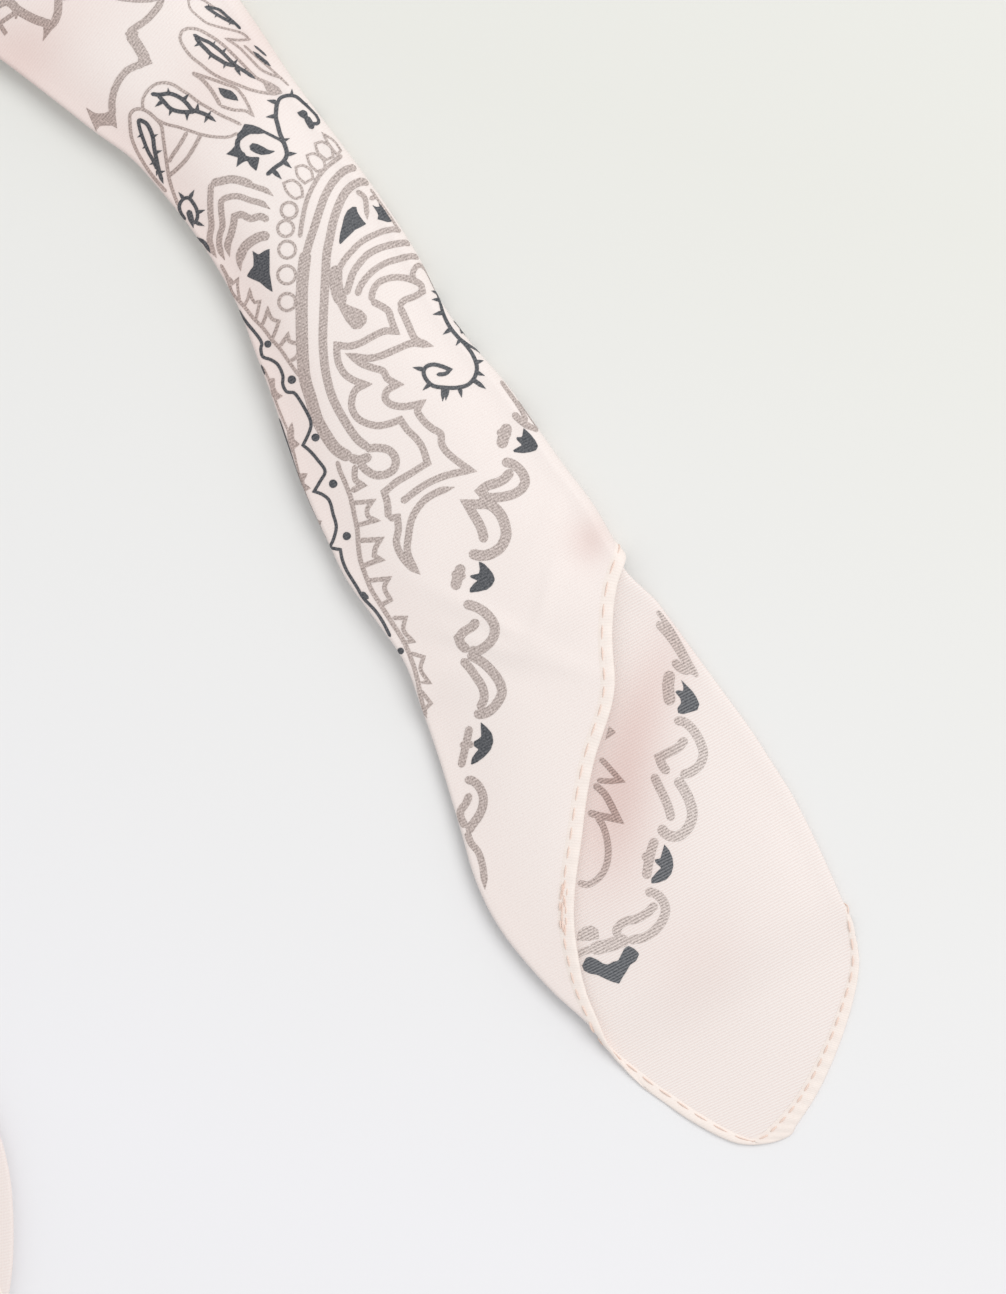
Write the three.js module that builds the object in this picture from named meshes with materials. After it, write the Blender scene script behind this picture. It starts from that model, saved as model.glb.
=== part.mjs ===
// A square satin scarf with narrow rolled hems, folded on its diagonal into a band and laid
// flat in an arch, with both tails open. Millimetres, +Z up. The cloth rests on z = 0, and the
// origin is under the middle of its box. The near tail is the one on the +X side.
import * as THREE from "three";

// Driving sizes
const CLOTH_SIDE = 500; // side of the square that the scarf is cut from
const CLOTH_WALL = 1.0; // wall that stands for the cloth
const LAYER_GAP = 0.6; // air between two layers that lie on each other
const TAIL_LENGTH = 126; // from a tip to where the flap's hem has crossed the band
const TAIL_WIDTH = 68; // widest place of a tail
const BAND_WIDTH = 40; // between the two sides where the band is plain
const BAND_HEIGHT = 8; // top of the folded band above the floor
const TAIL_PUFF = 1.2; // how far the open corner's cloth bellies up
const HEM_WIDTH = 3.4;
const HEM_HEIGHT = 1.2;
const SEAM_GAP = 0.55; // between a hem and the wall that it edges

// The band runs along the square's diagonal.
const BAND_LENGTH = CLOTH_SIDE * Math.SQRT2;

// Heading of the band's middle line from the near tip, in degrees from +X.
// at is a share of the band's length.
const ROUTE = [
  { at: 0.0, heading: 112.5 },
  { at: 0.04, heading: 116.5 },
  { at: 0.12, heading: 118 },
  { at: 0.24, heading: 118.5 },
  { at: 0.29, heading: 120.5 },
  { at: 0.33, heading: 128.5 },
  { at: 0.38, heading: 140 },
  { at: 0.42, heading: 148 },
  { at: 0.46, heading: 170 },
  { at: 0.5, heading: 206 },
  { at: 0.54, heading: 239 },
  { at: 0.58, heading: 262 },
  { at: 0.63, heading: 275 },
  { at: 0.69, heading: 282 },
  { at: 0.76, heading: 284 },
  { at: 0.84, heading: 284 },
  { at: 0.9, heading: 281 },
  { at: 0.95, heading: 278 },
  { at: 1.0, heading: 276 },
];

// Sides of a tail. at is a share of the tail's length from its tip, left and right are shares
// of the tail's width, to the two sides of the middle line. Left is the inside of the arch.
const TAIL = [
  { at: 0.0, left: 0.06, right: 0.02 },
  { at: 0.007, left: 0.1, right: 0.04 },
  { at: 0.023, left: 0.152, right: 0.084 },
  { at: 0.053, left: 0.205, right: 0.152 },
  { at: 0.1, left: 0.266, right: 0.253 },
  { at: 0.133, left: 0.299, right: 0.312 },
  { at: 0.175, left: 0.339, right: 0.386 },
  { at: 0.217, left: 0.365, right: 0.436 },
  { at: 0.267, left: 0.389, right: 0.458 },
  { at: 0.317, left: 0.407, right: 0.465 },
  { at: 0.4, left: 0.462, right: 0.474 },
  { at: 0.5, left: 0.506, right: 0.477 },
  { at: 0.567, left: 0.517, right: 0.468 },
  { at: 0.633, left: 0.508, right: 0.457 },
  { at: 0.7, left: 0.482, right: 0.439 },
  { at: 0.833, left: 0.433, right: 0.404 },
  { at: 0.917, left: 0.408, right: 0.383 },
  { at: 1.0, left: 0.387, right: 0.363 },
];
// Sides of the band between the tails, with its dents. at is a share of the stretch between
// the two tails, left and right are shares of the band's width.
const BAND = [
  { at: 0.023, left: 0.686, right: 0.606 },
  { at: 0.046, left: 0.72, right: 0.566 },
  { at: 0.069, left: 0.71, right: 0.533 },
  { at: 0.092, left: 0.692, right: 0.501 },
  { at: 0.115, left: 0.652, right: 0.442 },
  { at: 0.138, left: 0.605, right: 0.41 },
  { at: 0.161, left: 0.566, right: 0.422 },
  { at: 0.184, left: 0.525, right: 0.414 },
  { at: 0.208, left: 0.507, right: 0.402 },
  { at: 0.231, left: 0.5, right: 0.397 },
  { at: 0.254, left: 0.497, right: 0.411 },
  { at: 0.277, left: 0.495, right: 0.458 },
  { at: 0.3, left: 0.526, right: 0.521 },
  { at: 0.323, left: 0.535, right: 0.595 },
  { at: 0.345, left: 0.535, right: 0.63 },
  { at: 0.37, left: 0.53, right: 0.635 },
  { at: 0.41, left: 0.515, right: 0.59 },
  { at: 0.45, left: 0.5, right: 0.535 },
  { at: 0.55, left: 0.5, right: 0.5 },
  { at: 0.66, left: 0.51, right: 0.5 },
  { at: 0.78, left: 0.51, right: 0.49 },
  { at: 0.9, left: 0.58, right: 0.52 },
  { at: 0.96, left: 0.63, right: 0.57 },
];

// The cloth goes across a section of the band in one path: the tuck runs under the base to
// the right, turns up into the base, which runs left, folds over into the front, which runs
// right, and turns down into the wrap, which runs left along the floor.
const STRETCHES = 7;
const [TUCK, INNER_BEND, BASE, FOLD, FRONT, OUTER_BEND, WRAP, PATH_END] = Array(
  STRETCHES + 1,
).keys();

// Where on that path the cloth's two hemmed edges lie: a stretch, and the share of it that the
// edge has passed. at is a share of the tail's length.
const FLAP_EDGE = [
  { at: 0.0, path: FOLD },
  { at: 0.3, path: FOLD },
  { at: 0.332, path: FOLD + 0.5 },
  { at: 0.36, path: FRONT },
  { at: 0.397, path: FRONT + 0.083 },
  { at: 0.475, path: FRONT + 0.178 },
  { at: 0.518, path: FRONT + 0.234 },
  { at: 0.562, path: FRONT + 0.287 },
  { at: 0.595, path: FRONT + 0.334 },
  { at: 0.667, path: FRONT + 0.454 },
  { at: 0.717, path: FRONT + 0.539 },
  { at: 0.765, path: FRONT + 0.611 },
  { at: 0.86, path: FRONT + 0.729 },
  { at: 0.907, path: FRONT + 0.818 },
  { at: 0.94, path: FRONT + 0.889 },
  { at: 0.988, path: OUTER_BEND },
  { at: 1.1, path: WRAP },
  { at: 1.5, path: PATH_END },
];
const SIDE_EDGE = [
  { at: 0.0, path: BASE },
  { at: 0.33, path: BASE },
  { at: 0.375, path: INNER_BEND + 0.5 },
  { at: 0.415, path: INNER_BEND },
  { at: 0.87, path: TUCK },
];

// Stretches of a tail in which the layers build up, as shares of the tail's length
const TUCK_RISE = { from: 0.24, to: 0.4 };
const FOLD_RISE = { from: 0.26, to: 0.33 };
const WRAP_RISE = { from: 0.88, to: 0.96 };
const CROWN_RISE = { from: 0.34, to: 1.6 };
const PUFF_RISE = { from: 0.15, to: 0.5 };
const HEMS_END = { from: 1.5, to: 1.65 };

// Rows of the walls along the band: step is a share of the tail's length
const ROWS = [
  { to: 0.12, step: 0.02 },
  { to: 0.3, step: 0.045 },
  { to: 0.36, step: 0.015 },
  { to: 0.46, step: 0.009 },
  { to: 0.9, step: 0.0575 },
  { to: 1.2, step: 0.024 },
  { to: 2.3, step: 0.13 },
];
const ARCH_ROWS = 15;
const COLUMNS = [
  { from: TUCK, quads: 3 },
  { from: INNER_BEND, quads: 3 },
  { from: BASE, quads: 4 },
  { from: FOLD, quads: 4 },
  { from: FRONT, quads: 8 },
  { from: OUTER_BEND, quads: 4 },
  { from: WRAP, quads: 3 },
];
const HEM_QUADS = 4;
const ROUTE_STEPS = 1400;
const PATH_STEPS = 16; // steps in which each stretch of the path is measured
const NORMAL_STEP = 0.02; // share of a stretch over which the cloth's slope is taken
const SLANT_REACH = 0.02; // share of the tail's length over which an edge's slant is taken
const MOST_SLANT = 1.6;
const LEAST_WALL = 0.12; // narrowest row of the cloth at a tip, as a share of a stretch
const LEAST_HEM = 1e-3; // narrowest row of a hem at a tip, as a share of a stretch
const TINY = 1e-6;

const SATIN = 0xf3e6e2;
const HEM_SATIN = 0xf6e2da;

// Reads a column of a table between its rows by a smooth curve through them.
function read(table, column, at) {
  const last = table.length - 1;
  if (at <= table[0].at) return table[0][column];
  if (at >= table[last].at) return table[last][column];
  const i = table.findIndex((row) => row.at > at) - 1;
  const slope = (k) => {
    const a = table[Math.max(k - 1, 0)];
    const b = table[Math.min(k + 1, last)];
    return (b[column] - a[column]) / (b.at - a.at);
  };
  const span = table[i + 1].at - table[i].at;
  const t = (at - table[i].at) / span;
  const rise = table[i + 1][column] - table[i][column];
  const a = slope(i) * span - rise;
  const b = rise - slope(i + 1) * span;
  return table[i][column] + rise * t + t * (1 - t) * (a * (1 - t) + b * t);
}

// Reads a column by straight lines between its rows.
function readStraight(table, column, at) {
  const last = table.length - 1;
  if (at <= table[0].at) return table[0][column];
  if (at >= table[last].at) return table[last][column];
  const i = table.findIndex((row) => row.at > at) - 1;
  const t = (at - table[i].at) / (table[i + 1].at - table[i].at);
  return table[i][column] + t * (table[i + 1][column] - table[i][column]);
}

const ramp = (stretch, at) => THREE.MathUtils.smoothstep(at, stretch.from, stretch.to);

// The middle line, laid from the near tip by its headings.
function layRoute() {
  const step = BAND_LENGTH / ROUTE_STEPS;
  const places = [new THREE.Vector2(0, 0)];
  const headings = [];
  for (let i = 0; i <= ROUTE_STEPS; i++) {
    const degrees = read(ROUTE, "heading", i / ROUTE_STEPS);
    headings.push(THREE.MathUtils.degToRad(degrees));
  }
  for (let i = 1; i <= ROUTE_STEPS; i++) {
    const heading = (headings[i - 1] + headings[i]) / 2;
    const next = new THREE.Vector2(Math.cos(heading), Math.sin(heading));
    places.push(next.multiplyScalar(step).add(places[i - 1]));
  }
  return { step, places, headings };
}
const route = layRoute();

// The place on the floor at a distance along the band and an offset to its right side.
function onFloor(along, offset) {
  const f = THREE.MathUtils.clamp(along / route.step, 0, ROUTE_STEPS - TINY);
  const i = Math.floor(f);
  const place = route.places[i].clone().lerp(route.places[i + 1], f - i);
  const heading = THREE.MathUtils.lerp(route.headings[i], route.headings[i + 1], f - i);
  const right = new THREE.Vector2(Math.sin(heading), -Math.cos(heading));
  return place.addScaledVector(right, offset);
}

// Distances of the band's two sides from the middle line, in millimetres, as one table.
function layOutSides() {
  const between = BAND_LENGTH - 2 * TAIL_LENGTH;
  const rows = [];
  for (const row of TAIL)
    rows.push({
      at: row.at * TAIL_LENGTH,
      left: row.left * TAIL_WIDTH,
      right: row.right * TAIL_WIDTH,
    });
  for (const row of BAND)
    rows.push({
      at: TAIL_LENGTH + row.at * between,
      left: row.left * BAND_WIDTH,
      right: row.right * BAND_WIDTH,
    });
  for (const row of [...TAIL].reverse())
    rows.push({
      at: BAND_LENGTH - row.at * TAIL_LENGTH,
      left: row.left * TAIL_WIDTH,
      right: row.right * TAIL_WIDTH,
    });
  return rows;
}
const sides = layOutSides();

const turnPitch = CLOTH_WALL / 2 + HEM_HEIGHT / 2 + LAYER_GAP; // between layers that a hem edges
const wrapPitch = CLOTH_WALL + LAYER_GAP;

// Point of a turn of the cloth from one layer to another, as half an ellipse.
function turn(x, bulge, fromZ, toZ, t) {
  const angle = Math.PI * t;
  return {
    x: x + bulge * Math.sin(angle),
    z: (fromZ + toZ) / 2 - ((toZ - fromZ) / 2) * Math.cos(angle),
  };
}

// A section of the folded cloth: a function from a place on the path to x across the band,
// to its right, and z, both on the middle of the wall.
function section(along) {
  const fromTip = Math.min(along, BAND_LENGTH - along);
  const share = fromTip / TAIL_LENGTH;
  const left = -read(sides, "left", along);
  const right = read(sides, "right", along);
  const wrapped = ramp(WRAP_RISE, share);
  const floor = THREE.MathUtils.lerp(HEM_HEIGHT, CLOTH_WALL, ramp(HEMS_END, share)) / 2;
  const tuckZ = floor + wrapped * wrapPitch;
  const tucked = ramp(TUCK_RISE, share);
  const baseZ = tuckZ + tucked * turnPitch;
  const frontZ = baseZ + turnPitch;
  const crown = ramp(CROWN_RISE, share);
  const topZ = BAND_HEIGHT - CLOTH_WALL / 2;
  const crownZ = Math.max(topZ - frontZ, 0) * crown;
  const puffZ = TAIL_PUFF * ramp(PUFF_RISE, share) * (1 - crown);

  const foldBulge = (ramp(FOLD_RISE, share) * turnPitch) / 2;
  const innerBulge = (tucked * turnPitch) / 2;
  const outerBulge = ((frontZ - floor) / 2) * wrapped;
  const innerRight = right - innerBulge - wrapped * (CLOTH_WALL + LAYER_GAP);
  const outerRight = right - outerBulge;
  const innerLeft = left + foldBulge;
  const swell = (x, low, high) => {
    const t = Math.abs((2 * (x - low)) / (high - low) - 1);
    return (1 - Math.min(t, 1) ** 3) ** 2;
  };
  const lerp = THREE.MathUtils.lerp;

  return (path) => {
    if (path < INNER_BEND) {
      const x = lerp(innerLeft, innerRight, path - TUCK);
      return { x, z: tuckZ };
    }
    if (path < BASE) {
      return turn(innerRight, innerBulge, tuckZ, baseZ, path - INNER_BEND);
    }
    if (path <= FOLD) {
      const x = lerp(innerRight, innerLeft, path - BASE);
      return { x, z: baseZ + puffZ * swell(x, innerLeft, innerRight) };
    }
    if (path < FRONT) {
      return turn(innerLeft, -foldBulge, baseZ, frontZ, path - FOLD);
    }
    if (path < OUTER_BEND) {
      const x = lerp(innerLeft, outerRight, path - FRONT);
      return { x, z: frontZ + (puffZ + crownZ) * swell(x, innerLeft, outerRight) };
    }
    if (path < WRAP) {
      return turn(outerRight, outerBulge, frontZ, floor, path - OUTER_BEND);
    }
    const x = lerp(outerRight, left + CLOTH_WALL / 2, path - WRAP);
    return { x, z: floor };
  };
}

// The next place on the path at which the cloth's length is measured, never past the end of
// a stretch, because the stretches differ in length.
function nextPlace(path, direction) {
  const ends = direction > 0 ? Math.floor(path + TINY) + 1 : Math.ceil(path - TINY) - 1;
  const next = path + direction / PATH_STEPS;
  const inside = direction > 0 ? Math.min(next, ends) : Math.max(next, ends);
  return THREE.MathUtils.clamp(inside, TUCK, PATH_END);
}

// The place on the path that lies a distance along the cloth from another place.
function stepAlong(point, start, distance) {
  const direction = Math.sign(distance);
  let left = Math.abs(distance);
  let path = start;
  let here = point(path);
  while (left > 0) {
    const next = nextPlace(path, direction);
    if (next === path) return path;
    const there = point(next);
    const length = Math.hypot(there.x - here.x, there.z - here.z);
    if (length >= left) return path + ((next - path) * left) / length;
    left -= length;
    path = next;
    here = there;
  }
  return path;
}

// The length of cloth between the base's right end and a place on the path.
function lengthTo(point, end) {
  const direction = Math.sign(end - BASE);
  let path = BASE;
  let length = 0;
  while ((end - path) * direction > 0) {
    const ahead = nextPlace(path, direction);
    const next = direction > 0 ? Math.min(ahead, end) : Math.max(ahead, end);
    const [from, to] = [point(path), point(next)];
    length += Math.hypot(to.x - from.x, to.z - from.z);
    path = next;
  }
  return length;
}

// How much longer a strip along an edge is across the band than across itself.
function slant(along, table, side) {
  const reach = TAIL_LENGTH * SLANT_REACH;
  const lengthAt = (here) => {
    const share = Math.min(here, BAND_LENGTH - here) / TAIL_LENGTH;
    const cloth = lengthTo(section(here), readStraight(table, "path", share));
    return side === "left" ? cloth - read(sides, "right", here) : cloth + read(sides, side, here);
  };
  const run = lengthAt(along + reach) - lengthAt(along - reach);
  return Math.min(Math.hypot(1, run / (2 * reach)), MOST_SLANT);
}

// The two edges at a distance along the band, as places on the path: the cloth's own edge,
// the hem's inner side and the end of the wall that the hem edges.
function edges(along) {
  const point = section(along);
  const share = Math.min(along, BAND_LENGTH - along) / TAIL_LENGTH;
  const flap = readStraight(FLAP_EDGE, "path", share);
  const side = readStraight(SIDE_EDGE, "path", share);
  const widenFlap = slant(along, FLAP_EDGE, "left");
  const widenSide = slant(along, SIDE_EDGE, "right");
  const inner = (start, across) => stepAlong(point, start, across);
  return {
    flap,
    flapHem: inner(flap, -HEM_WIDTH * widenFlap),
    flapWall: inner(flap, -(HEM_WIDTH + SEAM_GAP) * widenFlap),
    side,
    sideHem: inner(side, HEM_WIDTH * widenSide),
    sideWall: inner(side, (HEM_WIDTH + SEAM_GAP) * widenSide),
  };
}

// Distances along the band at which the walls have a row.
function layRows() {
  const shares = [];
  let at = 0;
  for (const stretch of ROWS)
    for (; at < stretch.to - TINY; at += stretch.step) shares.push(at);
  const near = shares.map((share) => share * TAIL_LENGTH);
  const start = at * TAIL_LENGTH;
  const middle = [];
  for (let i = 0; i <= ARCH_ROWS; i++)
    middle.push(THREE.MathUtils.lerp(start, BAND_LENGTH - start, i / ARCH_ROWS));
  const far = near.map((along) => BAND_LENGTH - along).reverse();
  return [...near, ...middle, ...far];
}

// A closed wall round a grid of places, each a point and the way its reverse side faces: rows
// of equal length, in which neighbours that lie on the same spot are one. The wall's two faces
// lie half its thickness to each side, and nothing goes below the floor.
function wall(rows, thickness) {
  const places = [];
  const grid = rows.map((row) =>
    row.map((place, j) => {
      const before = row[j - 1];
      if (before && before.point.distanceTo(place.point) < TINY) return places.length - 1;
      return places.push(place) - 1;
    }),
  );
  const faces = [];
  const addFace = (a, b, c) => {
    if (a !== b && b !== c && c !== a) faces.push([a, b, c]);
  };
  const distance = (p, q) => places[p].point.distanceTo(places[q].point);
  for (let i = 0; i + 1 < grid.length; i++)
    for (let j = 0; j + 1 < grid[i].length; j++) {
      const [a, b] = [grid[i][j], grid[i][j + 1]];
      const [c, d] = [grid[i + 1][j + 1], grid[i + 1][j]];
      if (distance(a, c) < distance(b, d)) {
        addFace(a, b, c);
        addFace(a, c, d);
      } else {
        addFace(a, b, d);
        addFace(b, c, d);
      }
    }
  const rim = new Map();
  let facing = 0;
  for (const [a, b, c] of faces) {
    const ab = places[b].point.clone().sub(places[a].point);
    const ac = places[c].point.clone().sub(places[a].point);
    facing += ab.cross(ac).dot(places[a].reverse);
    for (const [p, q] of [[a, b], [b, c], [c, a]]) {
      if (rim.has(`${q},${p}`)) rim.delete(`${q},${p}`);
      else rim.set(`${p},${q}`, [p, q]);
    }
  }
  const count = places.length;
  const half = (Math.sign(facing) * thickness) / 2;
  const positions = [];
  for (const out of [half, -half])
    for (const { point, reverse } of places) {
      const { x, y, z } = point.clone().addScaledVector(reverse, out);
      positions.push(x, y, Math.max(z, 0));
    }
  const index = [];
  for (const [a, b, c] of faces) index.push(a, b, c, a + count, c + count, b + count);
  for (const [p, q] of rim.values())
    index.push(p, q + count, q, p, p + count, q + count);
  const geometry = new THREE.BufferGeometry();
  geometry.setAttribute("position", new THREE.Float32BufferAttribute(positions, 3));
  geometry.setIndex(index);
  geometry.computeVertexNormals();
  return geometry;
}

// A row across the band, for places on the path between the cloth's two edges.
function rowOfPlaces(along, paths, lowest, highest) {
  const point = section(along);
  const middle = onFloor(along, 0);
  const right = onFloor(along, 1).sub(middle);
  return paths.map((path) => {
    const { x, z } = point(path);
    const before = point(Math.max(path - NORMAL_STEP, lowest));
    const after = point(Math.min(path + NORMAL_STEP, highest));
    const side = after.z - before.z;
    const up = before.x - after.x;
    return {
      point: new THREE.Vector3(middle.x + right.x * x, middle.y + right.y * x, z),
      reverse: new THREE.Vector3(right.x * side, right.y * side, up).normalize(),
    };
  });
}

// The cloth without its hems: all its rows, each cut off at the hems.
function foldedCloth(rows) {
  const columns = [];
  for (const { from, quads } of COLUMNS)
    for (let i = 0; i < quads; i++) columns.push(from + i / quads);
  columns.push(PATH_END);
  const made = [];
  for (const along of rows) {
    const { flapWall, sideWall } = edges(along);
    if (flapWall - sideWall < LEAST_WALL) continue;
    const places = columns.map((c) => THREE.MathUtils.clamp(c, sideWall, flapWall));
    made.push(rowOfPlaces(along, places, sideWall, flapWall));
  }
  return wall(made, CLOTH_WALL);
}

// A hem from a tip to where its edge ends on the path. direction is the way from the edge to
// the hem's inner side. At the tip the two hems share the cloth's width, with a gap between.
function hem(rows, outer, inner, endsAt, direction) {
  const made = [];
  for (const along of rows) {
    const place = edges(along);
    const half = Math.abs(place.flap - place.side) / 2;
    const room = half * (1 - SEAM_GAP / (2 * HEM_WIDTH));
    const reach = Math.min(Math.abs(place[outer] - place[inner]), room);
    if (reach < LEAST_HEM) continue;
    const places = [];
    for (let i = 0; i <= HEM_QUADS; i++)
      places.push(place[outer] + (direction * reach * i) / HEM_QUADS);
    made.push(rowOfPlaces(along, places, place.side, place.flap));
    if (place[outer] === endsAt) break;
  }
  return wall(made, HEM_HEIGHT);
}

function satin(colour, roughness) {
  const material = new THREE.MeshStandardMaterial({ color: colour });
  material.roughness = roughness;
  material.metalness = 0;
  material.side = THREE.DoubleSide;
  return material;
}

function addPiece(group, name, geometry, material) {
  const mesh = new THREE.Mesh(geometry, material);
  mesh.name = name;
  group.add(mesh);
}

const scarf = new THREE.Group();
const rows = layRows();
addPiece(scarf, "folded_cloth", foldedCloth(rows), satin(SATIN, 0.45));
const tails = [
  { name: "near_tail", rows },
  { name: "far_tail", rows: [...rows].reverse() },
];
for (const tail of tails) {
  const flap = hem(tail.rows, "flap", "flapHem", PATH_END, -1);
  const side = hem(tail.rows, "side", "sideHem", TUCK, 1);
  addPiece(scarf, `${tail.name}_flap_hem`, flap, satin(HEM_SATIN, 0.55));
  addPiece(scarf, `${tail.name}_side_hem`, side, satin(HEM_SATIN, 0.55));
}

const box = new THREE.Box3().setFromObject(scarf);
const middle = box.getCenter(new THREE.Vector3());
scarf.position.set(-middle.x, -middle.y, 0);

export default scarf;
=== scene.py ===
"""A folded satin scarf: its cloth, hems, stitches and print, laid on a plain pale floor.

The scarf is a 500 mm square, folded on its diagonal into a band and laid flat in an arch.
The cloth is one sheet. A place on it has two coordinates in millimetres: along, from the near
tip down the band's middle line, and across, along the cloth from its left fold. Shapes are
worked out in millimetres in the frame of the solids, and go into meshes in metres.
"""

import logging
import math
from dataclasses import dataclass
from enum import Enum
from functools import cached_property

import bpy
import numpy as np
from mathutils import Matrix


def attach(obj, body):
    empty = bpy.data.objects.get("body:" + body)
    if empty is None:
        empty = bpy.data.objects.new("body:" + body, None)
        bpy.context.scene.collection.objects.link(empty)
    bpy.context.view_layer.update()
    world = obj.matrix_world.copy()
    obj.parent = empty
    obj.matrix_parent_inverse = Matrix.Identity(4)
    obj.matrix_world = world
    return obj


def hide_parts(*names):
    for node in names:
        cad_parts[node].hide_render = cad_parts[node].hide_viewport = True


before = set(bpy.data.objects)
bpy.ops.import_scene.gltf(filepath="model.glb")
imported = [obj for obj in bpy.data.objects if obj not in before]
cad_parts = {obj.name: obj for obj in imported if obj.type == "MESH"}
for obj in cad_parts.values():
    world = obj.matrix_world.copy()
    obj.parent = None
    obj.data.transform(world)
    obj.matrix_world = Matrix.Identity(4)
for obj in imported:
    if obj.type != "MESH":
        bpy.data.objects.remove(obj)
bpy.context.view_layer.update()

MM = 0.001
Rows = tuple[tuple[float, ...], ...]

log = logging.getLogger("scarf")


class Side(Enum):
    """The cloth's two sides."""

    FACE = 1.0
    REVERSE = -1.0


class Layer(Enum):
    """The two layers of cloth that show from above: the open corner and the folded front."""

    BASE = "base"
    FRONT = "front"


class Ink(Enum):
    """The two colours of the print."""

    TAUPE = "taupe"
    SLATE = "slate"


class Leg(Enum):
    """The two ends of the band."""

    NEAR = "near"
    FAR = "far"


def cubic(place: np.ndarray, value: np.ndarray, at: np.ndarray) -> np.ndarray:
    """Reads values between their places by a smooth curve.

    Between two places the curve is a cubic whose slope at each of them is the slope of the
    line that joins its two neighbours.

    Args:
        place: Places in rising order.
        value: The values there.
        at: Where the curve is read.

    Returns:
        The values, in the shape of at.
    """
    before = np.maximum(np.arange(len(place)) - 1, 0)
    after = np.minimum(np.arange(len(place)) + 1, len(place) - 1)
    slope = (value[after] - value[before]) / (place[after] - place[before])
    here = np.clip(at, place[0], place[-1])
    i = np.clip(np.searchsorted(place, here, side="right") - 1, 0, len(place) - 2)
    span = place[i + 1] - place[i]
    t = (here - place[i]) / span
    rise = value[i + 1] - value[i]
    a = slope[i] * span - rise
    b = rise - slope[i + 1] * span
    return value[i] + rise * t + t * (1 - t) * (a * (1 - t) + b * t)


@dataclass(frozen=True)
class Table:
    """Rows of numbers under named columns. The first column says where a row stands."""

    columns: tuple[str, ...]
    rows: Rows

    def column(self, name: str) -> np.ndarray:
        """Returns one column's numbers."""
        return np.array(self.rows, float)[:, self.columns.index(name)]

    def straight(self, name: str, at: np.ndarray) -> np.ndarray:
        """Reads a column between its rows by straight lines."""
        return np.interp(at, self.column(self.columns[0]), self.column(name))

    def smooth(self, name: str, at: np.ndarray) -> np.ndarray:
        """Reads a column between its rows by a smooth curve."""
        return cubic(self.column(self.columns[0]), self.column(name), at)


def ramp(low: float, high: float, at: np.ndarray) -> np.ndarray:
    """Returns a smooth step that is 0 up to low and 1 from high on."""
    t = np.clip((at - low) / (high - low), 0, 1)
    return t * t * (3 - 2 * t)


def mix(a: np.ndarray, b: np.ndarray, t: np.ndarray) -> np.ndarray:
    """Returns the value a share t of the way from a to b."""
    return a + (b - a) * t


def soften(values: np.ndarray, reach: float) -> np.ndarray:
    """Smooths rows of values by a bell-shaped average over their neighbours.

    Args:
        values: One row of numbers for each place, evenly spaced.
        reach: Width of the bell, in places.

    Returns:
        The smoothed rows, with the two ends extended in straight lines.
    """
    count = int(math.ceil(reach * 3))
    offsets = np.arange(-count, count + 1)
    bell = np.exp(-0.5 * (offsets / reach) ** 2)
    bell = bell / bell.sum()
    flat = values.reshape(len(values), -1)
    steps = np.arange(count, 0, -1)[:, None]
    head = flat[0] - steps * (flat[1] - flat[0])
    tail = flat[-1] + steps[::-1] * (flat[-1] - flat[-2])
    padded = np.concatenate([head, flat, tail])
    smooth = np.stack([np.convolve(col, bell, "valid") for col in padded.T], axis=1)
    return smooth.reshape(values.shape)


# The layout of the band

ROUTE = Table(
    ("at", "heading"),
    (
        (0.0, 112.5), (0.04, 116.5), (0.12, 118), (0.24, 118.5), (0.29, 120.5),
        (0.33, 128.5), (0.38, 140), (0.42, 148), (0.46, 170), (0.5, 206),
        (0.54, 239), (0.58, 262.3), (0.63, 275.3), (0.69, 282.3), (0.76, 284.3),
        (0.84, 284.5), (0.9, 284.5), (0.95, 281), (1.0, 278),
    ),
)
TAIL = Table(
    ("at", "left", "right"),
    (
        (0.0, 0.06, 0.02), (0.007, 0.1, 0.04), (0.023, 0.152, 0.084),
        (0.053, 0.205, 0.152), (0.1, 0.266, 0.253), (0.133, 0.299, 0.312),
        (0.175, 0.339, 0.386), (0.217, 0.365, 0.436), (0.267, 0.389, 0.458),
        (0.317, 0.407, 0.465), (0.4, 0.462, 0.474), (0.5, 0.506, 0.477),
        (0.567, 0.517, 0.468), (0.633, 0.508, 0.457), (0.7, 0.482, 0.439),
        (0.833, 0.433, 0.404), (0.917, 0.408, 0.383), (1.0, 0.387, 0.363),
    ),
)
BAND = Table(
    ("at", "left", "right"),
    (
        (0.023, 0.686, 0.606), (0.046, 0.72, 0.566), (0.069, 0.71, 0.533),
        (0.092, 0.692, 0.501), (0.115, 0.652, 0.442), (0.138, 0.605, 0.41),
        (0.161, 0.566, 0.422), (0.184, 0.525, 0.414), (0.208, 0.507, 0.402),
        (0.231, 0.5, 0.397), (0.254, 0.497, 0.411), (0.277, 0.495, 0.458),
        (0.3, 0.526, 0.521), (0.323, 0.535, 0.595), (0.345, 0.535, 0.63),
        (0.37, 0.53, 0.635), (0.41, 0.515, 0.59), (0.45, 0.5, 0.535),
        (0.55, 0.5, 0.5), (0.66, 0.51, 0.5), (0.78, 0.51, 0.49),
        (0.9, 0.58, 0.52), (0.96, 0.63, 0.57),
    ),
)
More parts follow.
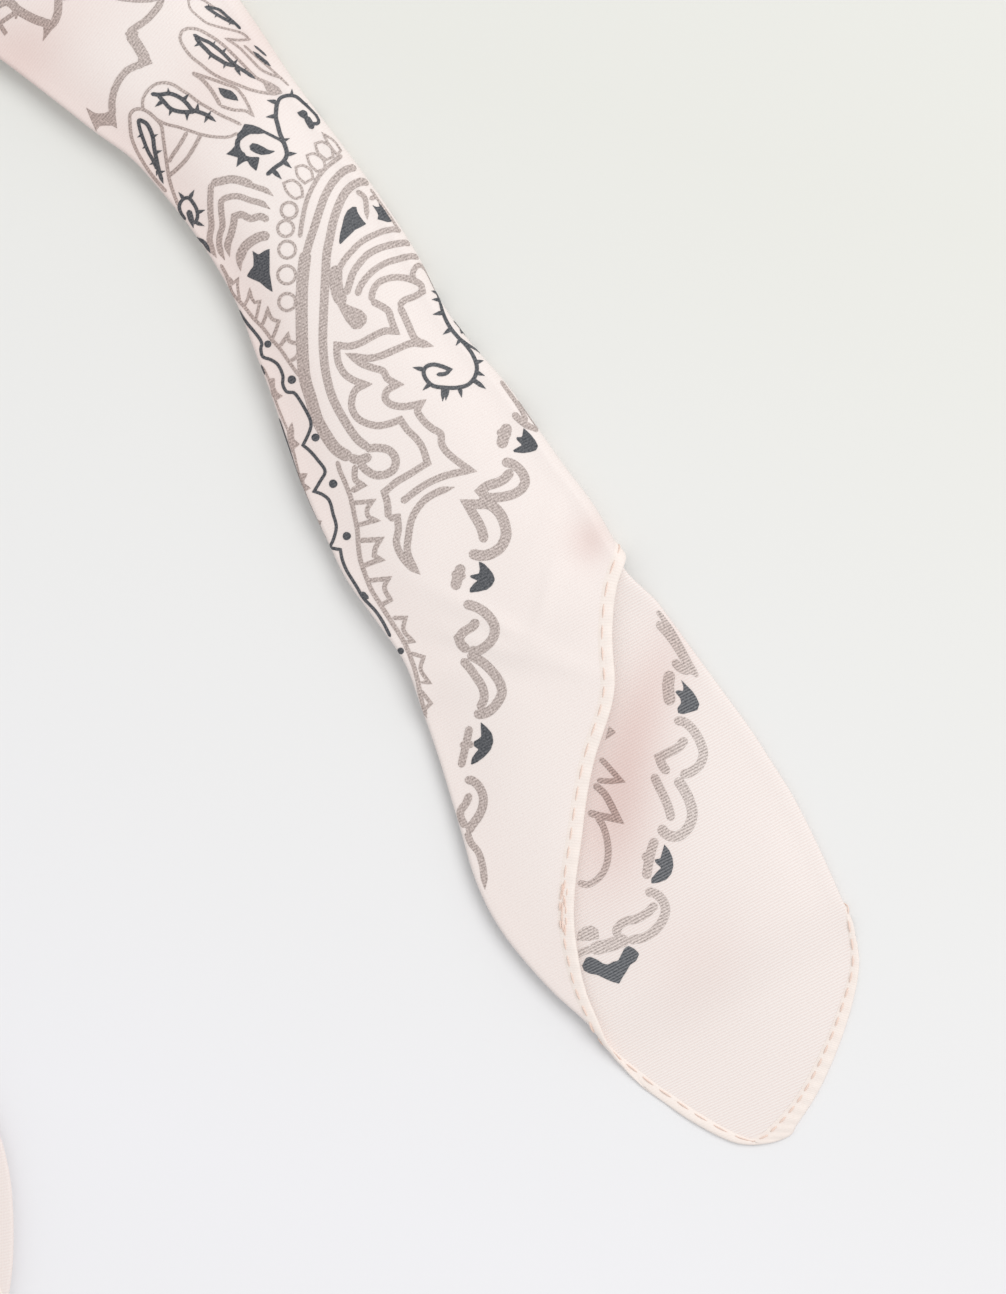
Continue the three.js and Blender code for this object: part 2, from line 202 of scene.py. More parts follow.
# Where the two hemmed edges lie on the path across the band: a whole number is the start of
# one of its stretches (0 tuck, 1 inner bend, 2 base, 3 fold, 4 front, 5 outer bend, 6 wrap).
FLAP_EDGE = Table(
    ("at", "path"),
    (
        (0.0, 3), (0.14, 3), (0.19, 3.45), (0.24, 3.96), (0.29, 4.0), (0.355, 4.052),
        (0.422, 4.127), (0.471, 4.177), (0.516, 4.233), (0.557, 4.292), (0.601, 4.356),
        (0.654, 4.42), (0.708, 4.498), (0.735, 4.56), (0.755, 4.606), (0.78, 4.665),
        (0.807, 4.703), (0.84, 4.735), (0.87, 4.766), (0.9, 4.82), (0.926, 4.878),
        (0.955, 4.97), (0.968, 5), (1.0, 6), (1.44, 7),
    ),
)
SIDE_EDGE = Table(
    ("at", "path"),
    ((0.0, 2), (0.24, 2), (0.27, 1.5), (0.3, 1), (0.87, 0)),
)
# Widths of the two hems, in millimetres
HEM_WIDTHS = Table(
    ("at", "flap", "side"),
    (
        (0.0, 2.8, 2.6), (0.1, 2.9, 2.3), (0.2, 2.5, 1.7), (0.28, 2.2, 1.4),
        (0.36, 2.3, 2.4), (0.42, 2.8, 2.8), (0.5, 3.2, 3.0), (0.6, 3.5, 3.2),
        (0.9, 3.3, 3.4), (1.6, 3.5, 3.4),
    ),
)


@dataclass(frozen=True)
class Layout:
    """The band's middle line on the floor, and the distances of its two sides from it."""

    cloth_side: float = 500.0
    tail_length: float = 126.0
    tail_width: float = 68.0
    band_width: float = 40.0
    tip_x: float = 123.830
    tip_y: float = -98.374
    steps: int = 1400

    @property
    def length(self) -> float:
        """The square's diagonal."""
        return self.cloth_side * math.sqrt(2)

    @cached_property
    def line(self) -> tuple[np.ndarray, np.ndarray, np.ndarray, np.ndarray]:
        """The middle line, laid from the near tip by its headings.

        Returns:
            Distances along the line, x, y and heading in radians.
        """
        share = np.linspace(0, 1, self.steps + 1)
        heading = np.radians(ROUTE.smooth("heading", share))
        middle = (heading[1:] + heading[:-1]) / 2
        step = self.length / self.steps
        x = self.tip_x + np.concatenate([[0], np.cumsum(np.cos(middle) * step)])
        y = self.tip_y + np.concatenate([[0], np.cumsum(np.sin(middle) * step)])
        return share * self.length, x, y, heading

    @cached_property
    def sides(self) -> Table:
        """Distances of the two sides from the middle line: a tail, the band and a tail."""
        between = self.length - 2 * self.tail_length
        tail = [
            (at * self.tail_length, left * self.tail_width, right * self.tail_width)
            for at, left, right in TAIL.rows
        ]
        band = [
            (self.tail_length + at * between, left * self.band_width, right * self.band_width)
            for at, left, right in BAND.rows
        ]
        far = [(self.length - at, left, right) for at, left, right in reversed(tail)]
        return Table(("at", "left", "right"), tuple(tail + band + far))

    def on_floor(self, along: np.ndarray, offset: np.ndarray) -> tuple[np.ndarray, np.ndarray]:
        """Places on the floor from distances along the band and offsets to its right.

        Args:
            along: Distances along the middle line.
            offset: Distances to its right side.

        Returns:
            x and y.
        """
        s, x, y, heading = self.line
        turn = np.interp(along, s, heading)
        return (
            np.interp(along, s, x) + np.sin(turn) * offset,
            np.interp(along, s, y) - np.cos(turn) * offset,
        )

    def from_floor(self, x: np.ndarray, y: np.ndarray) -> tuple[np.ndarray, np.ndarray]:
        """The distance along the band and the offset of places on the floor.

        The first guess is the nearest of some places on the line. Each round then moves it by
        the part of its distance from the place that lies along the line.

        Args:
            x: Places' x, on the near leg.
            y: Places' y, on the near leg.

        Returns:
            Distances along and offsets to the right.
        """
        s, line_x, line_y, heading = self.line
        near = s < self.length / 2
        pick = slice(0, int(near.sum()), 12)
        away = (x[:, None] - line_x[pick]) ** 2 + (y[:, None] - line_y[pick]) ** 2
        along = s[pick][away.argmin(axis=1)]
        for _ in range(8):
            turn = np.interp(along, s, heading)
            gap_x = x - np.interp(along, s, line_x)
            gap_y = y - np.interp(along, s, line_y)
            along = along + gap_x * np.cos(turn) + gap_y * np.sin(turn)
        return along, gap_x * np.sin(turn) - gap_y * np.cos(turn)


@dataclass(frozen=True)
class View:
    """The part of the floor that the photograph shows, and how it maps to millimetres."""

    width_px: float = 1006.0
    height_px: float = 1294.0
    mm_per_px: float = 0.21
    tip_px: tuple[float, float] = (788.0, 1137.0)

    def to_floor(self, px: np.ndarray, layout: Layout) -> tuple[np.ndarray, np.ndarray]:
        """Turns places in the view, as rows of x and y, into millimetres on the floor."""
        x = layout.tip_x + (px[:, 0] - self.tip_px[0]) * self.mm_per_px
        y = layout.tip_y - (px[:, 1] - self.tip_px[1]) * self.mm_per_px
        return x, y


@dataclass(frozen=True)
class Crease:
    """A soft fold or dent of the upper layers, as a ridge whose height fades to all sides."""

    px: tuple[float, float]
    heading: float
    length: float
    width: float
    height: float


CREASES = (
    Crease((592, 540), 70, 26, 12, -0.8),
    Crease((578, 560), 20, 30, 10, -0.35),
    Crease((612, 575), 75, 28, 9, 0.35),
    Crease((490, 620), -28, 150, 9, 0.45),
    Crease((505, 650), -15, 170, 9, 0.35),
    Crease((470, 655), -24, 150, 16, -0.35),
    Crease((545, 600), 75, 90, 8, 0.3),
    Crease((560, 500), 60, 110, 9, 0.35),
    Crease((400, 600), 65, 130, 26, 0.35),
    Crease((600, 815), 80, 130, 30, -0.9),
    Crease((640, 760), 70, 180, 45, -0.5),
    Crease((500, 800), 62, 160, 22, 0.3),
    Crease((330, 560), 60, 90, 22, -0.6),
    Crease((300, 330), 55, 200, 40, 0.3),
    Crease((250, 330), 55, 120, 20, -0.4),
    Crease((150, 200), 40, 100, 18, -0.5),
    Crease((60, 60), 35, 160, 30, -0.35),
    Crease((760, 1000), 60, 200, 70, 0.5),
    Crease((700, 1060), 25, 160, 50, -0.3),
    Crease((780, 860), 55, 220, 40, 0.45),
)


# Painted shade: soft spots where the cloth is made darker and redder, standing in for shade in
# hollows and dents and for pink light reflected between layers
PAINTED_SHADE_SPOTS = (
    (Layer.BASE, Crease((618, 800), 84, 190, 42, 0.8)),
    (Layer.BASE, Crease((650, 690), 70, 150, 30, 0.35)),
    (Layer.BASE, Crease((700, 960), 60, 130, 40, 0.2)),
    (Layer.FRONT, Crease((590, 540), 70, 50, 20, 0.5)),
    (Layer.FRONT, Crease((40, 40), 40, 160, 40, 0.35)),
    (Layer.FRONT, Crease((250, 50), 50, 240, 40, 0.3)),
)


@dataclass
class FoldedSquare:
    """The whole cloth, as rows across the band that follow one path through all its layers."""

    layout: Layout
    view: View
    band_height: float = 8.0
    lift: float = 0.12
    hem_height: float = 1.0
    turn_pitch: float = 1.6
    tail_pitch: float = 1.6
    band_pitch: float = 2.8
    puff: float = 1.2
    tuck_passes: int = 7
    wrap_passes: int = 5
    inset: float = 0.7
    row_step: float = 1.35

    @cached_property
    def rows(self) -> np.ndarray:
        """Distances along the band at which the cloth has a row."""
        count = int(round(self.layout.length / self.row_step))
        return np.linspace(0, self.layout.length, count + 1)

    @cached_property
    def path(self) -> dict[str, np.ndarray]:
        """The path across the band, for all rows at once.

        Straight runs go from side to side, and each bend between two of them is half an
        ellipse. The front and the base are crowned by a bell that is flat in the middle and
        runs out at the sides.

        Returns:
            x across the band, z, the station of each column, and the first and last column of
            the base and of the front.
        """
        lay = self.layout
        along = self.rows[:, None]
        from_tip = np.minimum(along, lay.length - along)
        share = from_tip / lay.tail_length
        left = -lay.sides.smooth("left", along)
        right = lay.sides.smooth("right", along)
        wrapped = ramp(0.88, 0.96, share)
        floor = mix(self.hem_height / 2, self.lift, ramp(1.5, 1.65, share))
        pitch = mix(self.tail_pitch, self.band_pitch, ramp(1.0, 2.2, share))
        tuck_z = floor + wrapped * pitch
        tucked = ramp(0.22, 0.34, share)
        base_z = tuck_z + tucked * self.turn_pitch
        front_z = base_z + ramp(0.12, 0.3, share) * self.turn_pitch
        crown = ramp(0.34, 1.6, share)
        crown_z = np.maximum(self.band_height - self.lift - front_z, 0) * crown
        puff_z = self.puff * ramp(0.15, 0.5, share) * (1 - crown)
        fold_bulge = ramp(0.13, 0.32, share) * self.turn_pitch / 2
        inner_bulge = tucked * self.turn_pitch / 2
        outer_bulge = (front_z - floor) / 2 * wrapped
        inner_right = right - inner_bulge - wrapped * 1.6
        outer_right = right - outer_bulge
        inner_left = left + fold_bulge
        winding = (tuck_z - floor) / (self.tuck_passes + self.wrap_passes + 1)

        blocks_x: list[np.ndarray] = []
        blocks_z: list[np.ndarray] = []
        stations: list[np.ndarray] = []

        def swell(x: np.ndarray, low: np.ndarray, high: np.ndarray) -> np.ndarray:
            """Returns a bell over the stretch from low to high, flat in its middle."""
            t = np.abs(2 * (x - low) / np.maximum(high - low, 1e-6) - 1)
            return (1 - np.minimum(t, 1) ** 3) ** 2

        def run(start: float, a: np.ndarray, b: np.ndarray, z: np.ndarray, quads: int, up=0.0):
            """Adds a run from a to b at height z, crowned by up."""
            t = np.arange(quads)[None, :] / quads
            x = a + (b - a) * t
            blocks_x.append(x)
            blocks_z.append(z + up * swell(x, np.minimum(a, b), np.maximum(a, b)))
            stations.append(start + t[0])

        def bend(start: float, x: np.ndarray, bulge: np.ndarray, low, high, quads: int):
            """Adds a bend at x from height low to height high."""
            angle = np.pi * np.arange(quads)[None, :] / quads
            blocks_x.append(x + bulge * np.sin(angle))
            blocks_z.append((low + high) / 2 - (high - low) / 2 * np.cos(angle))
            stations.append(start + np.arange(quads) / quads)

        wind_left = inner_left + self.inset
        wind_right = inner_right - self.inset
        half = winding / 2
        for k in range(self.tuck_passes, 0, -1):
            goes_left = k % 2 == 1
            start, end = (wind_right, wind_left) if goes_left else (wind_left, wind_right)
            z = tuck_z - k * winding
            run(-2.0 * k, start, end, z, 3)
            bend(-2.0 * k + 1, end, -half if goes_left else half, z, z + winding, 2)
        run(0, inner_left, inner_right, tuck_z, 5)
        bend(1, inner_right, inner_bulge, tuck_z, base_z, 6)
        first_base = sum(block.shape[1] for block in blocks_x)
        run(2, inner_right, inner_left, base_z, 34, puff_z)
        last_base = sum(block.shape[1] for block in blocks_x)
        bend(3, inner_left, -fold_bulge, base_z, front_z, 8)
        first_front = sum(block.shape[1] for block in blocks_x)
        run(4, inner_left, outer_right, front_z, 44, puff_z + crown_z)
        last_front = sum(block.shape[1] for block in blocks_x)
        bend(5, outer_right, outer_bulge, front_z, floor, 12)
        wrap_left = left + 0.5
        run(6, outer_right, wrap_left, floor, 12)
        end = wrap_left
        for k in range(1, self.wrap_passes + 1):
            goes_right = k % 2 == 1
            z = floor + (k - 1) * winding
            bend(5.0 + 2 * k, end, -half if goes_right else half, z, z + winding, 2)
            start = wind_left if goes_right else wind_right
            end = wind_right if goes_right else wind_left
            run(6.0 + 2 * k, start, end, z + winding, 3)
        blocks_x.append(end + 0 * along)
        blocks_z.append(z + winding + 0 * along)
        stations.append(np.array([7.0 + 2 * self.wrap_passes]))

        shape = (len(self.rows), 1)
        x = np.concatenate([np.broadcast_to(b, (shape[0], b.shape[1])) for b in blocks_x], 1)
        z = np.concatenate([np.broadcast_to(b, (shape[0], b.shape[1])) for b in blocks_z], 1)
        return {
            "x": x,
            "z": z,
            "station": np.concatenate(stations),
            Layer.BASE.value: np.arange(first_base, last_base + 1),
            Layer.FRONT.value: np.arange(first_front, last_front + 1),
        }

    @cached_property
    def grid(self) -> tuple[np.ndarray, np.ndarray, np.ndarray]:
        """Points of the cloth, its face's normals and the distance across, row by row.

        The normal is the cross product of the steps along and across. The creases move the
        upper layers up or down by bells round each crease's middle.

        Returns:
            Points, normals and distances across from the left fold.
        """
        x = self.path["x"].copy()
        z = self.path["z"].copy()
        along = np.broadcast_to(self.rows[:, None], x.shape)
        step = np.hypot(np.diff(x, axis=1), np.diff(z, axis=1))
        across = np.concatenate([np.zeros((len(x), 1)), np.cumsum(step, axis=1)], axis=1)
        across = across - across[:, self.path[Layer.BASE.value][-1]][:, None]
        x, z = self.opened(x, z, across)
        floor_x, floor_y = self.layout.on_floor(along, x)
        station = self.path["station"][None, :]
        upper = ramp(2.0, 2.15, station) * (1 - ramp(4.85, 5.0, station))
        z = z + upper * self.creases(along, x)
        points = np.stack([floor_x, floor_y, z], axis=2)
        normals = np.cross(np.gradient(points, axis=1), np.gradient(points, axis=0))
        normals = normals / np.maximum(np.linalg.norm(normals, axis=2, keepdims=True), 1e-9)
        return points, normals, across

    def opened(
        self, x: np.ndarray, z: np.ndarray, across: np.ndarray
    ) -> tuple[np.ndarray, np.ndarray]:
        """Lays what is past the open tail's two edges straight on instead of folded.

        No cloth is there, but places read near an edge then keep to its plane.

        Args:
            x: Offsets of all columns.
            z: Heights of all columns.
            across: Distances across.

        Returns:
            The offsets and heights.
        """
        from_tip = np.minimum(self.rows, self.layout.length - self.rows)[:, None]
        share = from_tip / self.layout.tail_length
        right, left = self.path[Layer.BASE.value][[0, -1]]
        for first, last, at, closed, way in (
            (0, right, right, ramp(0.2, 0.24, share), -1.0),
            (left, x.shape[1], left, ramp(0.09, 0.12, share), -1.0),
        ):
            part = slice(first, last)
            straight = x[:, [at]] + way * (across[:, part] - across[:, [at]])
            x[:, part] = mix(straight, x[:, part], closed)
            z[:, part] = mix(np.broadcast_to(z[:, [at]], z[:, part].shape), z[:, part], closed)
        return x, z

    def bell(self, crease: Crease, along: np.ndarray, aside: np.ndarray) -> np.ndarray:
        """A crease's height over places near it.

        The height falls off by a bell along the crease and by another one across it.

        Args:
            crease: The crease.
            along: Distances of the places from the crease along the band.
            aside: Their distances from it to the band's right.

        Returns:
            The heights.
        """
        at_x, at_y = self.view.to_floor(np.array([crease.px]), self.layout)
        s, _ = self.layout.from_floor(at_x, at_y)
        line_s, _, _, heading = self.layout.line
        turn = math.radians(crease.heading) - float(np.interp(s, line_s, heading)[0])
        u = along * math.cos(turn) - aside * math.sin(turn)
        v = along * math.sin(turn) + aside * math.cos(turn)
        long = crease.length * self.view.mm_per_px / 2
        wide = crease.width * self.view.mm_per_px
        return crease.height * np.exp(-((u / long) ** 2) - (v / wide) ** 2)

    def creases(self, along: np.ndarray, offset: np.ndarray) -> np.ndarray:
        """Returns the height that all creases add at places on the band, on both legs."""
        from_tip = np.minimum(along, self.layout.length - along)
        total = np.zeros_like(offset)
        for crease in CREASES:
            at_x, at_y = self.view.to_floor(np.array([crease.px]), self.layout)
            s, aside = self.layout.from_floor(at_x, at_y)
            total += self.bell(crease, from_tip - s, offset - aside)
        return total

    def tone(self, along: np.ndarray, across: np.ndarray) -> np.ndarray:
        """How much painted shade the cloth gets at places on it, from 0 to 1, as darker and redder
        colour.

        The front gets a little painted shade all over and more towards the left fold, which lies away
        from the key light, and soft spots of painted shade are added on each layer.

        Args:
            along: Distances along the band.
            across: Distances across from the left fold.

        Returns:
            The amounts of painted shade.
        """
        from_tip = np.minimum(along, self.layout.length - along)
        front = ramp(0.0, 1.0, across)
        share = from_tip / self.layout.tail_length
        # Painted shade on the front: a little everywhere, and more towards the left fold
        left = (0.08 + 0.28 * ramp(1.0, 1.6, share)) * (1 - ramp(2.0, 17.0, across))
        total = front * (left + 0.14)
        for layer, spot in PAINTED_SHADE_SPOTS:
            at_x, at_y = self.view.to_floor(np.array([spot.px]), self.layout)
            s, aside = self.layout.from_floor(at_x, at_y)
            middle = self.across_at(s, aside, layer)
            sign = 1.0 if layer is Layer.FRONT else -1.0
            own = front if layer is Layer.FRONT else 1 - front
            total = total + own * self.bell(spot, from_tip - s, sign * (across - middle))
        return np.clip(total, 0, 1)

    @cached_property
    def edges(self) -> tuple[np.ndarray, np.ndarray]:
        """Distances across of the flap's edge and the side's edge, row by row.

        Near the tips they come from the tables. Further on each edge lies as much deeper in
        the cloth as the row is further from its tip, because the edges of the square stand at
        45 degrees to the diagonal.
        """
        lay = self.layout
        station = self.path["station"]
        across = self.grid[2]
        from_tip = np.minimum(self.rows, lay.length - self.rows)
        share = from_tip / lay.tail_length
        index = np.arange(len(station))

        def at_station(path: np.ndarray) -> np.ndarray:
            """Returns each row's distance across at a station of its own."""
            place = np.interp(path, station, index)
            low = np.minimum(place.astype(int), len(index) - 2)
            row = np.arange(len(across))
            return mix(across[row, low], across[row, low + 1], place - low)

        flap = at_station(FLAP_EDGE.straight("path", share))
        flap = flap + np.maximum(from_tip - 1.5 * lay.tail_length, 0)
        side = at_station(SIDE_EDGE.straight("path", share))
        side = side - np.maximum(from_tip - 0.87 * lay.tail_length, 0)
        return soften(flap, 1.6), soften(side, 1.6)

    def hem_widths(self, along: np.ndarray) -> tuple[np.ndarray, np.ndarray]:
        """Returns the widths of the flap's hem and the side's hem at distances along."""
        share = np.minimum(along, self.layout.length - along) / self.layout.tail_length
        return HEM_WIDTHS.smooth("flap", share), HEM_WIDTHS.smooth("side", share)

    def place(self, along: np.ndarray, across: np.ndarray) -> tuple[np.ndarray, np.ndarray]:
        """Points and face normals of the cloth at any places on it.

        Between rows and columns both are mixed in straight lines.

        Args:
            along: Distances along the band.
            across: Distances across from the left fold.

        Returns:
            Points and normals, one row for each place.
        """
        points, normals, table = self.grid
        count = table.shape[1]
        f = np.clip(along / (self.rows[1] - self.rows[0]), 0, len(self.rows) - 1.000001)
        row = f.astype(int)
        stride = table.max() - table.min() + 1000.0
        flat = (table + np.arange(len(table))[:, None] * stride).ravel()

        def on_row(i: np.ndarray) -> tuple[np.ndarray, np.ndarray]:
            """Returns points and normals on whole rows."""
            here = np.clip(across, table[i, 0], table[i, -1])
            j = np.searchsorted(flat, here + i * stride, side="right") - 1 - i * count
            j = np.clip(j, 0, count - 2)
            gap = np.maximum(table[i, j + 1] - table[i, j], 1e-9)
            t = np.clip((here - table[i, j]) / gap, 0, 1)[:, None]
            return (
                mix(points[i, j], points[i, j + 1], t),
                mix(normals[i, j], normals[i, j + 1], t),
            )

        low_points, low_normals = on_row(row)
        high_points, high_normals = on_row(row + 1)
        t = (f - row)[:, None]
        normal = mix(low_normals, high_normals, t)
        normal = normal / np.maximum(np.linalg.norm(normal, axis=1, keepdims=True), 1e-9)
        return mix(low_points, high_points, t), normal

    @cached_property
    def across_tables(self) -> dict[Layer, tuple[np.ndarray, np.ndarray]]:
        """For both layers, the distance across at even offsets from the middle line.

        Past a layer's two sides the distance goes on at the same rate, so that a print that
        runs over a side goes round it.
        """
        offsets = np.arange(-60.0, 60.5, 0.5)
        across = self.grid[2]
        tables: dict[Layer, tuple[np.ndarray, np.ndarray]] = {}
        for layer in Layer:
            columns = self.path[layer.value]
            order = columns if layer is Layer.FRONT else columns[::-1]
            made = []
            for x, c in zip(self.path["x"][:, order], across[:, order]):
                inside = np.interp(offsets, x, c)
                sign = 1.0 if layer is Layer.FRONT else -1.0
                past = np.maximum(offsets - x[-1], 0) + np.minimum(offsets - x[0], 0)
                made.append(inside + sign * past)
            tables[layer] = (offsets, np.array(made))
        return tables

    def across_at(self, along: np.ndarray, offset: np.ndarray, layer: Layer) -> np.ndarray:
        """The distance across of places seen from above on one layer.

        Args:
            along: Distances along the band.
            offset: Offsets to the right of the middle line.
            layer: The layer that the places are on.

        Returns:
            Distances across.
        """
        offsets, table = self.across_tables[layer]
        f = np.clip(along / (self.rows[1] - self.rows[0]), 0, len(self.rows) - 1.000001)
        g = np.clip((offset - offsets[0]) / 0.5, 0, len(offsets) - 1.000001)
        i, j = f.astype(int), g.astype(int)
        low = mix(table[i, j], table[i, j + 1], g - j)
        high = mix(table[i + 1, j], table[i + 1, j + 1], g - j)
        return mix(low, high, f - i)


# Meshes


@dataclass
class Builder:
    """Puts numpy surfaces into meshes and links them to the scene."""

    collection: bpy.types.Collection

    def add(
        self,
        name: str,
        points: np.ndarray,
        triangles: np.ndarray,
        material: bpy.types.Material,
        slot: str,
        uv: np.ndarray | None = None,
        tone: np.ndarray | None = None,
    ) -> bpy.types.Object:
        """Makes one piece of the scarf.

        Args:
            name: The piece's name.
            points: Corners in millimetres.
            triangles: Rows of three corners.
            material: Its finish.
            slot: A name for the material slot; not used.
            uv: A pair of numbers for each corner, in millimetres, or None.
            tone: How much painted shade the cloth gets at each corner, or None.

        Returns:
            The new object.
        """
        used, where = np.unique(triangles, return_inverse=True)
        triangles = where.reshape(-1, 3).astype(np.int32)
        mesh = bpy.data.meshes.new(name)
        mesh.vertices.add(len(used))
        mesh.vertices.foreach_set("co", (points[used] * MM).astype(np.float32).ravel())
        mesh.loops.add(triangles.size)
        mesh.loops.foreach_set("vertex_index", triangles.ravel())
        mesh.polygons.add(len(triangles))
        mesh.polygons.foreach_set("loop_start", np.arange(0, triangles.size, 3, dtype=np.int32))
        mesh.polygons.foreach_set("use_smooth", np.ones(len(triangles), bool))
        if uv is not None:
            layer = mesh.uv_layers.new(name="cloth")
            pairs = (uv[used] * MM).astype(np.float32)[triangles.ravel()]
            layer.data.foreach_set("uv", pairs.ravel())
        # Painted shade, kept as an attribute that the finish reads
        if tone is not None:
            shade = mesh.attributes.new("tone", "FLOAT", "POINT")
            shade.data.foreach_set("value", tone[used].astype(np.float32))
        mesh.update(calc_edges=True)
        mesh.validate()
        piece = bpy.data.objects.new(name, mesh)
        self.collection.objects.link(piece)
        piece.data.materials.append(material)
        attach(piece, "root")
        log.info("%s: %d triangles", name, len(triangles))
        return piece


def grid_triangles(index: np.ndarray, points: np.ndarray) -> np.ndarray:
    """Splits the cells of a grid of corners into triangles across their shorter diagonal.

    Args:
        index: Corner numbers, row by row. Neighbours may be the same corner.
        points: All corners.

    Returns:
        Rows of three different corners.
    """
    a, b = index[:-1, :-1].ravel(), index[:-1, 1:].ravel()
    c, d = index[1:, 1:].ravel(), index[1:, :-1].ravel()
    short = np.linalg.norm(points[a] - points[c], axis=1) < np.linalg.norm(
        points[b] - points[d], axis=1
    )
    first = np.where(short[:, None], np.stack([a, b, c], 1), np.stack([a, b, d], 1))
    second = np.where(short[:, None], np.stack([a, c, d], 1), np.stack([b, c, d], 1))
    both = np.concatenate([first, second])
    whole = (both[:, 0] != both[:, 1]) & (both[:, 1] != both[:, 2]) & (both[:, 2] != both[:, 0])
    return both[whole]


# Finishes


def node_group(name: str, inputs: dict[str, float], outputs: dict[str, str]):
    """Starts a shader node group.

    Args:
        name: The group's name.
        inputs: Number inputs with their default values.
        outputs: Output names with their socket types.

    Returns:
        The group, its input node and its output node.
    """
    group = bpy.data.node_groups.new(name, "ShaderNodeTree")
    for key, value in inputs.items():
        socket = group.interface.new_socket(key, in_out="INPUT", socket_type="NodeSocketFloat")
        socket.default_value = value
    for key, kind in outputs.items():
        group.interface.new_socket(key, in_out="OUTPUT", socket_type=kind)
    return group, group.nodes.new("NodeGroupInput"), group.nodes.new("NodeGroupOutput")


def math_node(nodes, links, operation: str, a, b=None, c=None):
    """Adds a maths node whose inputs are sockets or numbers, and returns its output."""
    node = nodes.new("ShaderNodeMath")
    node.operation = operation
    for socket, value in zip(node.inputs, (a, b, c)):
        if isinstance(value, bpy.types.NodeSocket):
            links.new(value, socket)
        elif value is not None:
            socket.default_value = value
    return node.outputs[0]


def weave_group() -> bpy.types.NodeTree:
    """Makes the weave: ribs across the band, broken up by threads and soft noise.

    The ribs are a sine of the distance along plus a share of the distance across. They are
    coarse where the cloth shows its reverse and fine where it shows its face. Outputs are a
    height for bumps, the ribs, a fine grain and a slow mottle from 0 to 1, the reverse as a
    mask, and the piece's painted shade, an attribute that makes it darker and redder.
    """
    group, given, out = node_group(
        "weave",
        {"Rib pitch": 0.6, "Slant": 0.0},
        {
            "Height": "NodeSocketFloat", "Ribs": "NodeSocketFloat", "Grain": "NodeSocketFloat",
            "Mottle": "NodeSocketFloat", "Reverse": "NodeSocketFloat", "Painted shade": "NodeSocketFloat",
        },
    )
    nodes, links = group.nodes, group.links
    uv = nodes.new("ShaderNodeUVMap")
    uv.uv_map = "cloth"
    split = nodes.new("ShaderNodeSeparateXYZ")
    links.new(uv.outputs["UV"], split.inputs[0])

    def maths(operation: str, a, b=None, c=None):
        """Adds a maths node of this group."""
        return math_node(nodes, links, operation, a, b, c)

    def noise(scale: float, detail: float):
        """Adds soft noise over the cloth."""
        node = nodes.new("ShaderNodeTexNoise")
        node.inputs["Scale"].default_value = scale
        node.inputs["Detail"].default_value = detail
        links.new(uv.outputs["UV"], node.inputs["Vector"])
        return node.outputs["Fac"]

    full = 2 * math.pi / MM
    reverse = maths("LESS_THAN", split.outputs["Y"], 0.0)
    slanted = maths("MULTIPLY_ADD", split.outputs["Y"], given.outputs["Slant"], split.outputs["X"])
    ribs = maths("DIVIDE", maths("MULTIPLY", slanted, full), given.outputs["Rib pitch"])
    ribs = maths("SINE", maths("MULTIPLY_ADD", noise(220.0, 1.0), 2.2, ribs))
    ribs = maths("MULTIPLY_ADD", ribs, 0.5, 0.5)
    threads = maths("SINE", maths("MULTIPLY", split.outputs["Y"], full / 0.37))
    grain = maths("MULTIPLY_ADD", noise(2400.0, 2.0), 3.6, -1.3)
    grain = maths("MULTIPLY_ADD", threads, 0.12, grain)
    # Painted shade: the piece's attribute of how much darker and redder it is made
    tone = nodes.new("ShaderNodeAttribute")
    tone.attribute_name = "tone"
    height = maths("MULTIPLY_ADD", grain, 0.5, ribs)
    links.new(height, out.inputs["Height"])
    links.new(ribs, out.inputs["Ribs"])
    links.new(grain, out.inputs["Grain"])
    links.new(noise(26.0, 3.0), out.inputs["Mottle"])
    links.new(reverse, out.inputs["Reverse"])
    links.new(tone.outputs["Fac"], out.inputs["Painted shade"])
    return group


